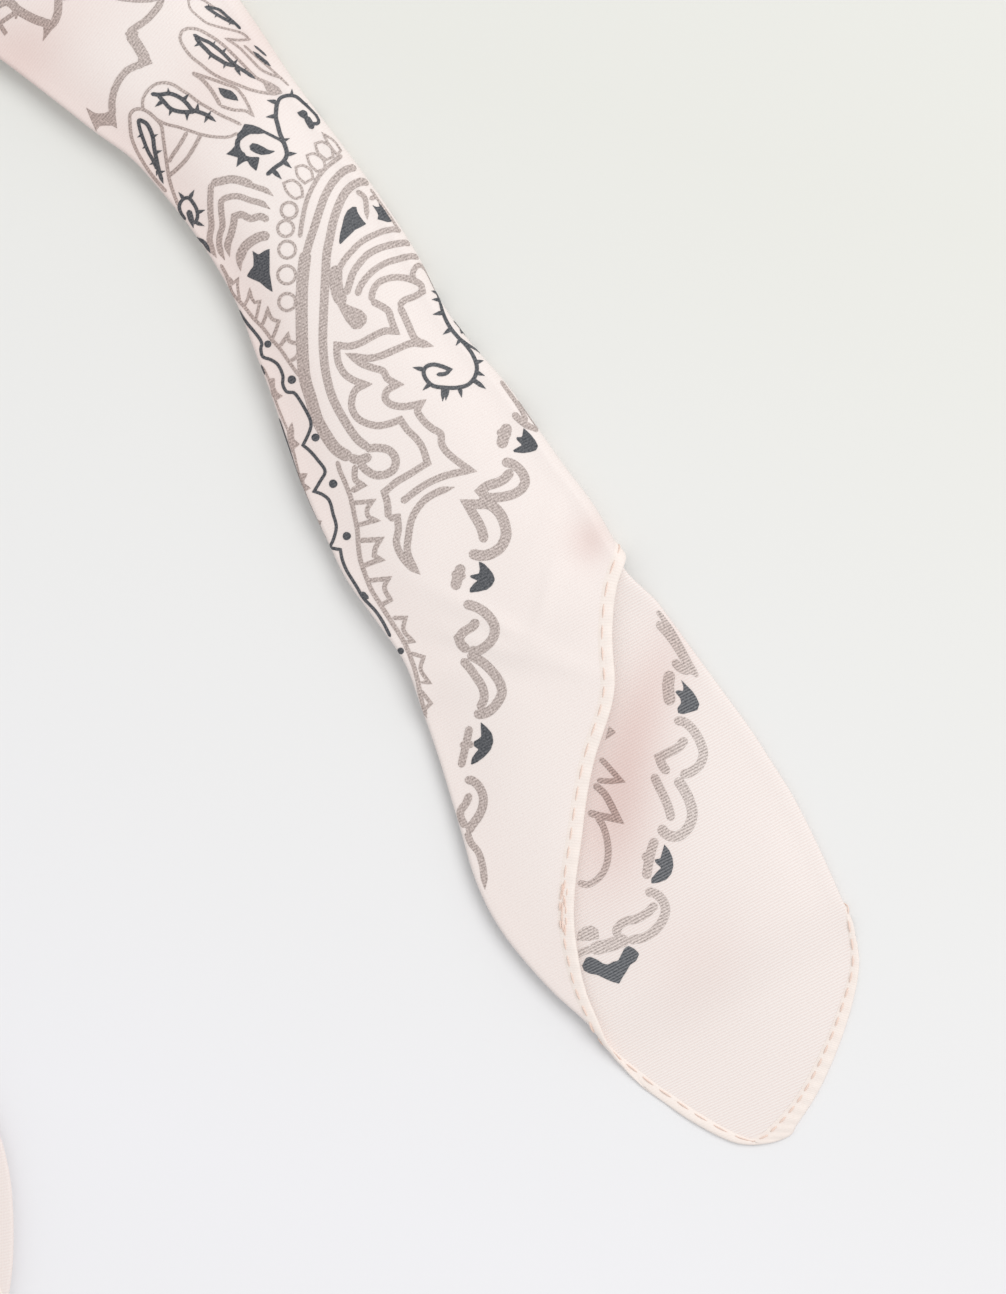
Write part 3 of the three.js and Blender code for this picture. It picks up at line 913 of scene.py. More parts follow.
@dataclass(frozen=True)
class Finish:
    """A cloth finish on the shared weave, with a shade of its colour between the ribs.

    The ribs and the grain mix the shade in. Where the reverse shows, the ribs mix in more of
    it. The piece's painted shade then multiplies in a darker, redder colour.
    """

    name: str
    colour: tuple[float, float, float]
    shade: tuple[float, float, float]
    roughness: float
    rib_pitch: float = 0.6
    slant: float = 0.0
    bump: float = 0.2
    sheen: float = 0.2
    face_ribs: float = 0.1
    reverse_ribs: float = 0.1
    grain: float = 0.2
    mottle: float = 0.2
    # The darker, redder colour that the piece's painted shade multiplies in
    painted_shade_colour: tuple[float, float, float] = (0.86, 0.72, 0.70)

    def make(self, weave: bpy.types.NodeTree) -> bpy.types.Material:
        """Makes the material.

        Args:
            weave: The weave's node group.

        Returns:
            The material, which reads the piece's UV map.
        """
        material = bpy.data.materials.new(self.name)
        material.use_nodes = True
        nodes, links = material.node_tree.nodes, material.node_tree.links
        shader = nodes["Principled BSDF"]
        shader.inputs["Roughness"].default_value = self.roughness
        shader.inputs["Sheen Weight"].default_value = self.sheen
        shader.inputs["Sheen Roughness"].default_value = 0.4
        shader.inputs["Specular IOR Level"].default_value = 0.4
        pattern = nodes.new("ShaderNodeGroup")
        pattern.node_tree = weave
        pattern.inputs["Rib pitch"].default_value = self.rib_pitch
        pattern.inputs["Slant"].default_value = self.slant

        def maths(operation: str, a, b=None, c=None):
            """Adds a maths node of this material."""
            return math_node(nodes, links, operation, a, b, c)

        more = self.reverse_ribs - self.face_ribs
        part = maths("MULTIPLY_ADD", pattern.outputs["Reverse"], more, self.face_ribs)
        part = maths("MULTIPLY", part, pattern.outputs["Ribs"])
        part = maths("MULTIPLY_ADD", pattern.outputs["Grain"], self.grain, part)
        part = maths("MULTIPLY_ADD", pattern.outputs["Mottle"], self.mottle, part)
        tint = nodes.new("ShaderNodeMix")
        tint.data_type = "RGBA"
        tint.inputs["A"].default_value = (*self.colour, 1)
        tint.inputs["B"].default_value = (*self.shade, 1)
        links.new(part, tint.inputs["Factor"])
        # Painted shade: darker and redder where the piece's attribute says so
        painted_shade_mix = nodes.new("ShaderNodeMix")
        painted_shade_mix.data_type = "RGBA"
        painted_shade_mix.blend_type = "MULTIPLY"
        painted_shade_mix.inputs["B"].default_value = (*self.painted_shade_colour, 1)
        links.new(pattern.outputs["Painted shade"], painted_shade_mix.inputs["Factor"])
        links.new(tint.outputs["Result"], painted_shade_mix.inputs["A"])
        links.new(painted_shade_mix.outputs["Result"], shader.inputs["Base Color"])
        bump = nodes.new("ShaderNodeBump")
        bump.inputs["Strength"].default_value = self.bump
        bump.inputs["Distance"].default_value = 0.00008
        links.new(pattern.outputs["Height"], bump.inputs["Height"])
        links.new(bump.outputs["Normal"], shader.inputs["Normal"])
        return material


SATIN = Finish(
    "satin", (0.92, 0.875, 0.845), (0.80, 0.65, 0.61), 0.46,
    bump=0.4, sheen=0.05, face_ribs=0.14, reverse_ribs=0.44, grain=0.13, mottle=0.1,
)
HEM_SATIN = Finish(
    "hem_satin", (0.93, 0.865, 0.815), (0.86, 0.70, 0.64), 0.5, bump=0.3, sheen=0.1,
)
THREAD = Finish("thread", (0.93, 0.75, 0.66), (0.87, 0.61, 0.51), 0.6, bump=0.3)
# The taupe print's painted shade colour is darker and redder than the satin's
TAUPE = Finish(
    "taupe_print", (0.31, 0.26, 0.24), (0.86, 0.77, 0.73), 0.5,
    bump=0.3, sheen=0.05, face_ribs=0.24, reverse_ribs=0.55, grain=0.46, mottle=0.1,
    painted_shade_colour=(0.64, 0.47, 0.44),
)
SLATE = Finish(
    "slate_print", (0.028, 0.034, 0.043), (0.38, 0.39, 0.41), 0.5,
    bump=0.3, sheen=0.05, face_ribs=0.1, reverse_ribs=0.34, grain=0.2, mottle=0.02,
)


# Pieces


@dataclass
class Cloth:
    """The sheet of satin, from hem to hem and from tip to tip."""

    square: FoldedSquare
    reach: float = 0.75
    most_slant: float = 1.8

    def build(self, builder: Builder, material: bpy.types.Material) -> bpy.types.Object:
        """Builds the sheet.

        Columns past an edge are drawn to it, and cells without any width are left out, so the
        sheet ends in a clean line inside each hem.

        Args:
            builder: Adds the mesh.
            material: The satin.

        Returns:
            The sheet.
        """
        square = self.square
        points, _, across = square.grid
        flap, side = square.edges
        slope_flap = np.hypot(1, np.gradient(flap, square.rows))
        slope_side = np.hypot(1, np.gradient(side, square.rows))
        wide_flap, wide_side = square.hem_widths(square.rows)
        high = flap - self.reach * wide_flap * np.minimum(slope_flap, self.most_slant)
        low = side + self.reach * wide_side * np.minimum(slope_side, self.most_slant)
        keep = high - low > 0.5
        first = int(np.argmax(keep))
        last = len(keep) - int(np.argmax(keep[::-1]))
        pick = slice(first, last)
        c = np.clip(across[pick], low[pick][:, None], high[pick][:, None])
        along = np.broadcast_to(square.rows[pick][:, None], c.shape)
        placed, _ = square.place(along.ravel(), c.ravel())
        count = c.shape[1]
        columns = np.arange(count)[None, :]
        below = across[pick] < low[pick][:, None]
        above = across[pick] > high[pick][:, None]
        start = below.sum(axis=1)[:, None] - 1
        end = count - above.sum(axis=1)[:, None]
        column = np.clip(columns, np.maximum(start, 0), np.minimum(end, count - 1))
        index = column + np.arange(len(c))[:, None] * count
        triangles = grid_triangles(index, placed)
        uv = np.stack([along.ravel(), c.ravel()], axis=1)
        # How much painted shade the sheet gets at each corner
        tone = square.tone(along.ravel(), c.ravel())
        return builder.add("satin_square", placed, triangles, material, "satin", uv, tone)


@dataclass
class Hem:
    """The rolled hem of one tail: down the flap's edge, round the tip and up the side's edge."""

    square: FoldedSquare
    leg: Leg
    height: float = 1.0
    step: float = 0.6
    rounding: float = 1.5
    flap_end: float = 1.52
    side_end: float = 0.9
    stitch_pitch: float = 4.0
    stitch_length: float = 2.7
    thread_radius: float = 0.15
    stitch_line: float = 0.74
    tack_from: float = 0.47
    tack_to: float = 0.545
    tack_pitch: float = 0.8
    tack_length: float = 1.9

    profile: Table = Table(
        ("at", "half"),
        (
            (0.0, 0.0), (0.03, 0.24), (0.1, 0.38), (0.22, 0.45), (0.42, 0.42),
            (0.6, 0.34), (0.74, 0.24), (0.82, 0.2), (0.9, 0.1), (0.96, 0.03),
            (0.985, 0.012), (1.0, -0.02),
        ),
    )

    @cached_property
    def line(self) -> tuple[np.ndarray, np.ndarray, np.ndarray, np.ndarray]:
        """The cloth's edge as a line on the flat cloth, in even steps.

        The edge is the flap's edge down to the tip, a short end across the tip, and the side's
        edge from there up. Its corners are rounded by averaging each place with its
        neighbours.

        Returns:
            Places as pairs of distance from the tip and distance across, the inward
            directions, the hem's widths and the distances along the edge.
        """
        square = self.square
        lay = square.layout
        flap, side = square.edges
        if self.leg is Leg.FAR:
            flap, side = flap[::-1], side[::-1]
        reach = square.rows
        down = reach < self.flap_end * lay.tail_length
        up = reach < self.side_end * lay.tail_length
        tip = np.linspace(flap[0], side[0], 8)[1:-1]
        places = np.concatenate(
            [
                np.stack([reach[down], flap[down]], 1)[::-1],
                np.stack([np.zeros(len(tip)), tip], 1),
                np.stack([reach[up], side[up]], 1),
            ]
        )
        run = np.concatenate([[0], np.cumsum(np.hypot(*np.diff(places, axis=0).T))])
        even = np.arange(0, run[-1], self.step)
        places = np.stack([np.interp(even, run, places[:, k]) for k in (0, 1)], 1)
        places = soften(places, self.rounding / self.step)
        tangent = np.gradient(places, axis=0)
        tangent /= np.linalg.norm(tangent, axis=1, keepdims=True)
        inward = np.stack([-tangent[:, 1], tangent[:, 0]], 1)
        share = np.maximum(places[:, 0], 0) / lay.tail_length
        turn = int(np.argmin(places[:, 0]))
        past = ramp(turn - 8, turn + 8, np.arange(len(places)))
        width = mix(HEM_WIDTHS.smooth("flap", share), HEM_WIDTHS.smooth("side", share), past)
        return places, inward, width, even

    def lay(self, depth: np.ndarray, lift: np.ndarray, at: np.ndarray) -> np.ndarray:
        """Points on the hem.

        A point lies depth in from the edge along the cloth, and lift off the cloth's face.

        Args:
            depth: Distances in from the edge, one row for each place on the line.
            lift: Heights off the face, in the same shape.
            at: The places on the line, in the same shape, as fractions of steps.

        Returns:
            The points, with x, y and z last.
        """
        square = self.square
        places, inward, _, _ = self.line
        index = np.arange(len(places))
        here = np.stack([np.interp(at, index, places[:, k]) for k in (0, 1)], -1)
        into = np.stack([np.interp(at, index, inward[:, k]) for k in (0, 1)], -1)
        flat = here + into * depth[..., None]
        along = np.maximum(flat[..., 0], 0)
        if self.leg is Leg.FAR:
            along = square.layout.length - along
        points, normals = square.place(along.ravel(), flat[..., 1].ravel())
        lifted = points + normals * lift.ravel()[:, None]
        lifted[:, 2] = np.maximum(lifted[:, 2], 0.02)
        return lifted.reshape(*depth.shape, 3)

    def build(self, builder: Builder, material: bpy.types.Material) -> bpy.types.Object:
        """Builds the rolled hem as a closed flat tube with a groove at its stitches.

        Its section goes from the outer edge over the face to the inner edge and back under
        the reverse. Between two stitches it is a little fuller.

        Args:
            builder: Adds the mesh.
            material: The hem's satin.

        Returns:
            The hem.
        """
        _, _, width, even = self.line
        part = self.profile.column("at")
        half = self.profile.column("half") * self.height
        depth = np.concatenate([part, part[-2:0:-1]])
        lift = np.concatenate([half, -half[-2:0:-1]])
        full = 1 + 0.16 * np.cos(2 * np.pi * even / self.stitch_pitch)
        full *= 1 + 0.06 * np.sin(2 * np.pi * even / 23.0 + 1.0)
        share = self.line[0][:, 0] / self.square.layout.tail_length
        full *= 1 - 0.4 * ramp(0.08, 0.16, share) * (1 - ramp(0.28, 0.36, share))
        ends = np.minimum(np.arange(len(even)), np.arange(len(even))[::-1])
        full *= np.sqrt(np.clip(ends / 2.0, 0, 1))
        rows = len(even)
        at = np.broadcast_to(np.arange(rows)[:, None], (rows, len(depth)))
        points = self.lay(width[:, None] * depth, full[:, None] * lift, at)
        index = np.arange(rows * len(depth)).reshape(rows, len(depth))
        index = np.concatenate([index, index[:, :1]], axis=1)
        points = points.reshape(-1, 3)
        uv = np.stack([np.repeat(even, len(depth)), (width[:, None] * depth).ravel()], 1)
        triangles = grid_triangles(index[:, ::-1], points)
        name = f"{self.leg.value}_tail_hem"
        return builder.add(name, points, triangles, material, "hem_satin", uv)

    def stitches(self, builder: Builder, material: bpy.types.Material) -> bpy.types.Object:
        """Builds the stitches on both sides of the hem.

        Each stitch is a closed spindle along the stitch line. Its middle lies on the hem and
        its ends dip into it. A few close ones in a zigzag tack the flap's hem down where its
        two lines of stitches meet.

        Args:
            builder: Adds the mesh.
            material: The thread.

        Returns:
            The stitches as one piece.
        """
        places, _, width, even = self.line
        starts = np.arange(2.0, even[-1] - 2 * self.stitch_pitch, self.stitch_pitch)
        share = places[:, 0] / self.square.layout.tail_length
        flap = np.arange(len(share)) < np.argmin(share)
        tacked = even[flap & (share > self.tack_from) & (share < self.tack_to)]
        tacks = np.arange(tacked.min(), tacked.max(), self.tack_pitch)
        zigzag = self.stitch_line - 0.06 + 0.2 * np.sin(2.4 * np.arange(len(tacks)))
        line = np.concatenate([np.full(len(starts), self.stitch_line), zigzag])[:, None, None]
        long = np.repeat([self.stitch_length, self.tack_length], [len(starts), len(tacks)])
        starts = np.concatenate([starts, tacks])
        t = np.linspace(0, 1, 9)
        angle = np.linspace(0, 2 * np.pi, 7)[:-1]
        at = (starts[:, None] + t * long[:, None]) / self.step
        at = np.broadcast_to(at[:, :, None], (*at.shape, len(angle)))
        wide = np.interp(at, np.arange(len(width)), width)
        radius = self.thread_radius * np.sqrt(np.clip(4 * t * (1 - t), 0.04, 1))[:, None]
        rise = (0.3 + 0.16 * np.sin(np.pi * t))[:, None] * self.height
        points = []
        triangles = []
        for side in Side:
            depth = wide * line + radius * np.cos(angle)
            lift = side.value * (rise + radius * np.sin(angle)) * np.ones_like(depth)
            laid = self.lay(depth, lift, at)
            count = sum(len(p) for p in points)
            shape = laid.shape[:3]
            index = np.arange(np.prod(shape)).reshape(shape)
            index = np.concatenate([index, index[:, :, :1]], axis=2) + count
            points.append(laid.reshape(-1, 3))
            flip = slice(None, None, -1 if side is Side.REVERSE else 1)
            a, b = index[:, :-1, :-1], index[:, :-1, 1:]
            c, d = index[:, 1:, 1:], index[:, 1:, :-1]
            cells = np.stack([a, b, c, a, c, d], -1).reshape(-1, 3)
            triangles.append(cells[:, flip])
        name = f"{self.leg.value}_tail_stitches"
        placed = np.concatenate(points)
        uv = placed[:, :2] * 3.0
        return builder.add(
            name, placed, np.concatenate(triangles), material, "stitch_thread", uv
        )


# The print

Path = tuple[tuple[float, float], ...]


@dataclass(frozen=True)
class Stroke:
    """A brush line of the print, traced in the view.

    A turn sharper than a limit is a corner, and all other turns are smooth. A tapered end
    runs to a point and any other end is round. Each spike is a short pointed line from the
    stroke to the place given.
    """

    width: float
    points: Path
    closed: bool = False
    taper: tuple[bool, bool] = (False, False)
    spikes: Path = ()


@dataclass(frozen=True)
class Blob:
    """A filled shape of the print. All of its outline can be seen from its middle."""

    outline: Path
    middle: tuple[float, float]


def ring(x: float, y: float, radius: float, width: float, long: float = 1.0) -> Stroke:
    """Returns a closed ring, longer in y by a share."""
    angle = [2 * math.pi * k / 10 for k in range(10)]
    points = tuple((x + radius * math.cos(a), y + radius * long * math.sin(a)) for a in angle)
    return Stroke(width, points, closed=True)


def dot(x: float, y: float, radius: float) -> Blob:
    """Returns a round dot."""
    angle = [2 * math.pi * k / 10 for k in range(10)]
    outline = tuple((x + radius * math.cos(a), y + radius * math.sin(a)) for a in angle)
    return Blob(outline, (x, y))


BOTH = (True, True)
START = (True, False)
END = (False, True)

FRONT_TAUPE = (
    # Large petals at the top left
    Stroke(9, ((-14, 12), (0, 8), (8, 5), (14, 7), (20, 13), (28, 18), (38, 23), (50, 27))),
    Blob((
        (48, 22), (55, 24), (60, 28), (54, 34), (49, 40), (45, 45), (46, 38), (46, 30),
    ), (52, 29)),
    Stroke(8, ((56, 28), (60, 18), (61, 8), (61, -8))),
    Stroke(5, ((64, 2), (76, 0), (92, -6))),
    Stroke(5, ((104, -4), (118, 1), (130, 3), (145, 4), (158, 2), (164, -4))),
    Stroke(7, ((164, -8), (162, 7), (155, 17), (147, 25), (138, 31), (130, 37))),
    Stroke(11, ((131, 37), (139, 48), (145, 58), (149, 65))),
    Blob(((127, 37), (134, 32), (141, 36), (138, 44), (132, 44)), (134, 38)),
    Blob(((141, 56), (150, 58), (155, 67), (146, 70), (140, 66)), (147, 64)),
    Stroke(7, ((147, 67), (137, 70), (128, 75), (121, 84), (116, 95), (114, 107), (115, 118))),
    Blob((
        (88, 110), (93, 114), (99, 116), (106, 116), (111, 114), (117, 114), (118, 122),
        (119, 131), (114, 128), (106, 128), (99, 129), (98, 134), (94, 125), (91, 118),
    ), (106, 122)),
    # Teardrops round the eyelets
    Stroke(2.2, (
        (250, 41), (243, 36), (233, 33), (220, 30), (208, 26), (199, 19), (192, 12), (190, 4),
        (196, 1), (204, 3), (212, 8), (222, 15), (232, 23),
    )),
    Stroke(3, (
        (278, 97), (262, 95), (250, 92), (237, 87), (224, 82), (213, 76), (203, 68), (193, 60),
        (186, 51), (182, 42), (184, 35), (190, 32), (200, 33), (210, 38), (222, 46), (233, 56),
        (245, 68), (257, 80), (268, 86),
    )),
    Blob(((262, 81), (272, 85), (280, 90), (284, 96), (275, 98), (268, 94)), (273, 91)),
    Stroke(3, (
        (145, 113), (145, 103), (149, 95), (157, 88), (166, 86), (175, 88), (183, 93), (191, 98),
        (200, 105), (210, 111), (222, 118), (235, 124), (243, 128),
    )),
    Stroke(3, (
        (156, 121), (168, 127), (180, 130), (192, 134), (205, 138), (218, 140), (230, 140),
        (240, 136),
    )),
    Stroke(3.4, (
        (168, 194), (160, 185), (152, 175), (144, 163), (137, 150), (133, 138), (132, 126),
        (132, 118), (136, 113), (143, 112), (150, 115), (157, 121), (163, 128), (165, 140),
        (167, 155), (169, 170), (171, 182), (175, 195), (180, 208),
    )),
    Stroke(4, ((189, 135), (182, 147), (175, 157), (170, 165))),
    Stroke(4, ((203, 137), (196, 150), (188, 162), (178, 172), (170, 178))),
    Stroke(2.4, (
        (252, 42), (240, 43), (228, 42), (240, 50), (252, 62), (262, 72), (272, 77), (284, 81),
    )),
    Stroke(2.4, ((245, 48), (256, 58), (270, 70), (290, 88))),
    Stroke(4, ((194, 76), (203, 82), (212, 92), (219, 103), (222, 109))),
    Stroke(3, (
        (222, 109), (235, 113), (247, 114), (254, 118), (249, 107), (243, 97), (237, 91),
        (226, 87), (212, 82), (194, 76),
    )),
    # Nested scallops
    Stroke(6, (
        (218, 260), (213, 250), (211, 240), (213, 228), (212, 215), (212, 200), (213, 186),
    ), taper=START),
    Stroke(8, ((213, 186), (222, 184), (233, 182), (244, 184), (254, 188))),
    Stroke(5.5, ((250, 187), (258, 190), (267, 193), (275, 199)), taper=END),
    Stroke(6, (
        (226, 262), (221, 250), (221, 238), (224, 228), (223, 215), (223, 204), (229, 200),
        (240, 199), (252, 203), (263, 206), (272, 212),
    ), taper=BOTH),
    Stroke(7, (
        (231, 259), (229, 247), (232, 238), (235, 227), (236, 219), (243, 217), (252, 221),
        (262, 219), (270, 223),
    ), taper=START),
    Stroke(9.5, (
        (242, 273), (241, 262), (245, 251), (252, 244), (262, 239), (271, 238),
    ), taper=START),
    # A chain of rings and loops along the paisley
    ring(288.5, 304, 8.5, 3),
    ring(288, 277, 9, 3),
    ring(288.5, 252, 8.5, 3),
    ring(287, 231, 8, 3),
    ring(290.5, 213, 8, 3),
    Stroke(2.6, (
        (285, 186), (288, 194), (296, 201), (304, 199), (302, 189), (294, 183),
    ), closed=True),
    Stroke(2.6, (
        (297, 170), (299, 179), (306, 186), (314, 181), (312, 173), (304, 168),
    ), closed=True),
    Stroke(2.6, (
        (308, 158), (311, 167), (318, 174), (326, 171), (324, 162), (315, 156),
    ), closed=True),
    Stroke(2.6, (
        (316, 146), (319, 155), (327, 162), (334, 159), (332, 150), (323, 144),
    ), closed=True),
    Stroke(2.6, ((324, 136), (330, 147), (338, 157), (342, 152), (336, 143)), closed=True),
    Stroke(4.5, ((343, 157), (325, 172), (315, 187), (308, 203), (304, 220), (301, 240))),
    # The paisley's bands
    Stroke(8, (
        (358, 168), (345, 173), (334, 184), (326, 198), (321, 212), (316, 228), (311, 243),
        (307, 258),
    )),
    Stroke(12, (
        (307, 254), (304, 280), (303, 300), (303, 330), (304, 360), (306, 380), (312, 400),
        (318, 420), (328, 438), (338, 451), (352, 459),
    )),
    Stroke(8.5, (
        (371, 183), (360, 184), (350, 190), (343, 200), (338, 212), (334, 225), (331, 240),
        (328, 255), (327, 270), (326, 290), (325, 310), (324, 340), (325, 360), (328, 380),
        (334, 400), (345, 421), (358, 440), (369, 449),
    )),
    Stroke(8, (
        (366, 450), (378, 449), (389, 451), (396, 459), (395, 469), (387, 475), (376, 476),
        (367, 471), (360, 463),
    )),
    Stroke(9, ((350, 458), (360, 461), (372, 457))),
    Stroke(13, ((337, 268), (337, 285), (340, 298), (345, 306))),
    Blob((
        (335, 300), (341, 312), (347, 323), (354, 331), (361, 331), (367, 325), (368, 318),
        (362, 312), (354, 309), (347, 306), (342, 300),
    ), (353, 319)),
    Stroke(5, ((357, 193), (365, 199), (367, 210), (368, 222)), taper=END),
    Stroke(4.5, ((379, 197), (370, 201))),
    Stroke(3.5, ((372, 190), (381, 203), (392, 218), (401, 232))),
    # The flame inside the paisley
    Stroke(7, (
        (372, 303), (382, 308), (389, 313), (392, 322), (396, 333), (385, 333), (372, 339),
        (361, 345), (350, 348), (338, 347), (338, 356), (340, 366), (346, 376), (355, 382),
        (366, 386), (357, 391), (353, 400), (353, 410), (358, 419), (366, 424), (378, 427),
        (390, 425), (401, 421), (408, 431), (417, 440), (423, 449), (428, 464), (412, 474),
        (397, 483), (385, 493), (388, 504), (389, 519),
    )),
    Stroke(7, (
        (389, 519), (398, 518), (399, 530), (397, 543), (402, 556), (411, 567), (421, 575),
    ), taper=END),
    Stroke(7, (
        (400, 308), (404, 316), (409, 327), (416, 341), (427, 346), (412, 345), (397, 351),
        (383, 357), (370, 360), (353, 358), (362, 365), (372, 369), (384, 373), (388, 380),
        (398, 386), (388, 392), (386, 400), (392, 406), (405, 408), (421, 405), (418, 412),
        (424, 422), (433, 430), (441, 435), (442, 445), (447, 453), (456, 461), (470, 471),
        (445, 477), (425, 486), (402, 503),
    )),
    Stroke(7, (
        (455, 488), (438, 493), (424, 502), (413, 518), (409, 537), (408, 552), (413, 565),
        (421, 575),
    ), taper=BOTH),
    # Nested arcs at the paisley's right
    Stroke(6, (
        (403, 231), (394, 231), (384, 233), (372, 238), (362, 244), (354, 252), (347, 260),
        (341, 270), (338, 282),
    )),
    Stroke(7, (
        (413, 243), (400, 245), (390, 247), (378, 251), (368, 257), (360, 266), (354, 275),
        (350, 287), (347, 297),
    )),
    Stroke(6.5, (
        (422, 257), (410, 258), (398, 261), (386, 265), (375, 272), (367, 280), (361, 289),
        (358, 298),
    )),
    Stroke(6.5, (
        (372, 303), (374, 292), (380, 284), (390, 280), (400, 279), (411, 281), (421, 286),
        (423, 293), (415, 298), (405, 302), (399, 308),
    )),
    Stroke(5.5, (
        (416, 286), (413, 276), (417, 268), (424, 266), (431, 270), (437, 279), (442, 287),
    )),
    # Fringe of small open blocks
    Stroke(3.5, (
        (222, 266), (229, 280), (233, 294), (240, 302), (247, 310), (255, 320), (263, 328),
        (273, 341), (281, 350), (288, 360), (295, 370), (301, 378),
    )),
    Stroke(2.8, ((231, 279), (234, 285), (239, 281), (239, 290), (241, 302))),
    Stroke(3, (
        (245, 308), (249, 300), (251, 292), (253, 300), (256, 304), (261, 303), (259, 312),
        (257, 321),
    )),
    Stroke(3.5, (
        (263, 327), (266, 320), (269, 311), (271, 317), (274, 321), (280, 323), (277, 332),
        (273, 341),
    )),
    Stroke(4, ((281, 348), (286, 341), (289, 337), (291, 343), (303, 346), (298, 358), (291, 363))),
    Stroke(4.5, (
        (338, 462), (341, 472), (347, 486), (352, 500), (355, 515), (358, 530), (359, 545),
        (361, 560), (366, 575), (372, 590), (380, 603), (392, 622), (404, 641), (412, 660),
        (418, 680), (421, 697), (426, 716),
    )),
    Stroke(6, ((356, 466), (356, 480), (363, 486), (352, 492))),
    Stroke(4.5, ((350, 504), (373, 502), (368, 510), (369, 517), (377, 521), (357, 526))),
    Stroke(5, ((360, 541), (381, 540), (376, 549), (375, 556), (381, 560), (364, 566))),
    Stroke(4.5, ((367, 581), (389, 579), (385, 588), (391, 600), (380, 606))),
    Stroke(4, ((393, 618), (406, 618), (404, 630), (413, 641), (402, 643))),
    Stroke(4, ((411, 653), (424, 657), (421, 669), (429, 682), (419, 682)), taper=END),
    Stroke(4, ((421, 690), (431, 703), (425, 710), (427, 718)), taper=END),
    # Lumps on a thin line at the left side
    Stroke(2.2, (
        (264, 368), (270, 381), (276, 400), (283, 418), (289, 432), (294, 450), (298, 467),
        (302, 485), (308, 505), (314, 520), (321, 537),
    )),
    Blob((
        (271, 380), (276, 379), (276, 388), (279, 394), (284, 397), (277, 402), (272, 396),
    ), (275, 392)),
    Blob((
        (293, 423), (295, 431), (295, 440), (301, 445), (296, 449), (293, 454), (289, 441),
        (288, 432),
    ), (293, 440)),
    Blob((
        (300, 474), (309, 474), (305, 480), (306, 486), (312, 489), (304, 493), (301, 484),
    ), (304, 483)),
    Blob((
        (313, 521), (323, 521), (319, 527), (321, 534), (325, 540), (319, 542), (315, 532),
    ), (318, 530)),
    # Arcs at the right side
    Stroke(6, ((502, 381), (511, 394), (518, 404), (524, 414), (527, 422))),
    Stroke(7, ((513, 414), (519, 420), (527, 426), (540, 430))),
    Stroke(3, ((521, 400), (530, 412), (541, 428))),
    # Bars beside the tulips
    Stroke(11.5, ((508, 425), (504, 437), (501, 449))),
    Stroke(8.4, ((497, 433), (511, 436))),
    Stroke(10.5, ((462, 565), (458, 578), (455, 590))),
    Stroke(8.4, ((452, 574), (466, 577))),
    Stroke(7.6, ((470, 726), (466, 745), (461, 767))),
    Stroke(7, ((460, 745), (474, 744))),
    # The chain of links
    Stroke(9.6, (
        (502, 463), (510, 464), (517, 468), (523, 475), (525, 483), (521, 490), (513, 495),
        (500, 498), (487, 498), (481, 492), (487, 487), (496, 484), (504, 480), (512, 471),
    )),
    Stroke(9.4, ((485, 496), (483, 505), (468, 505), (473, 514), (479, 524), (483, 534), (484, 543))),
    Stroke(10.5, (
        (485, 503), (494, 508), (501, 516), (505, 526), (506, 536), (502, 546), (494, 553),
        (484, 556), (475, 555), (470, 552),
    )),
    Stroke(9.6, (
        (464, 604), (473, 606), (483, 611), (491, 619), (495, 628), (493, 638), (486, 646),
        (477, 651), (469, 650),
    )),
    Stroke(9.4, ((478, 620), (472, 627), (464, 632), (459, 638), (462, 645), (469, 651))),
    Stroke(8.6, ((462, 659), (470, 668), (477, 678), (483, 688), (484, 699), (479, 709))),
    Stroke(9.6, (
        (468, 654), (481, 661), (491, 670), (499, 681), (502, 692), (497, 703), (489, 711),
        (480, 714), (475, 711),
    )),
    Stroke(8.6, (
        (465, 780), (472, 780), (479, 786), (483, 795), (483, 805), (479, 815), (472, 825),
        (468, 832),
    )),
    Stroke(7.6, ((470, 793), (466, 803), (461, 810), (461, 817), (466, 827))),
    Stroke(7, ((467, 831), (471, 842), (478, 851), (482, 862), (484, 875), (485, 889)), taper=END),
)

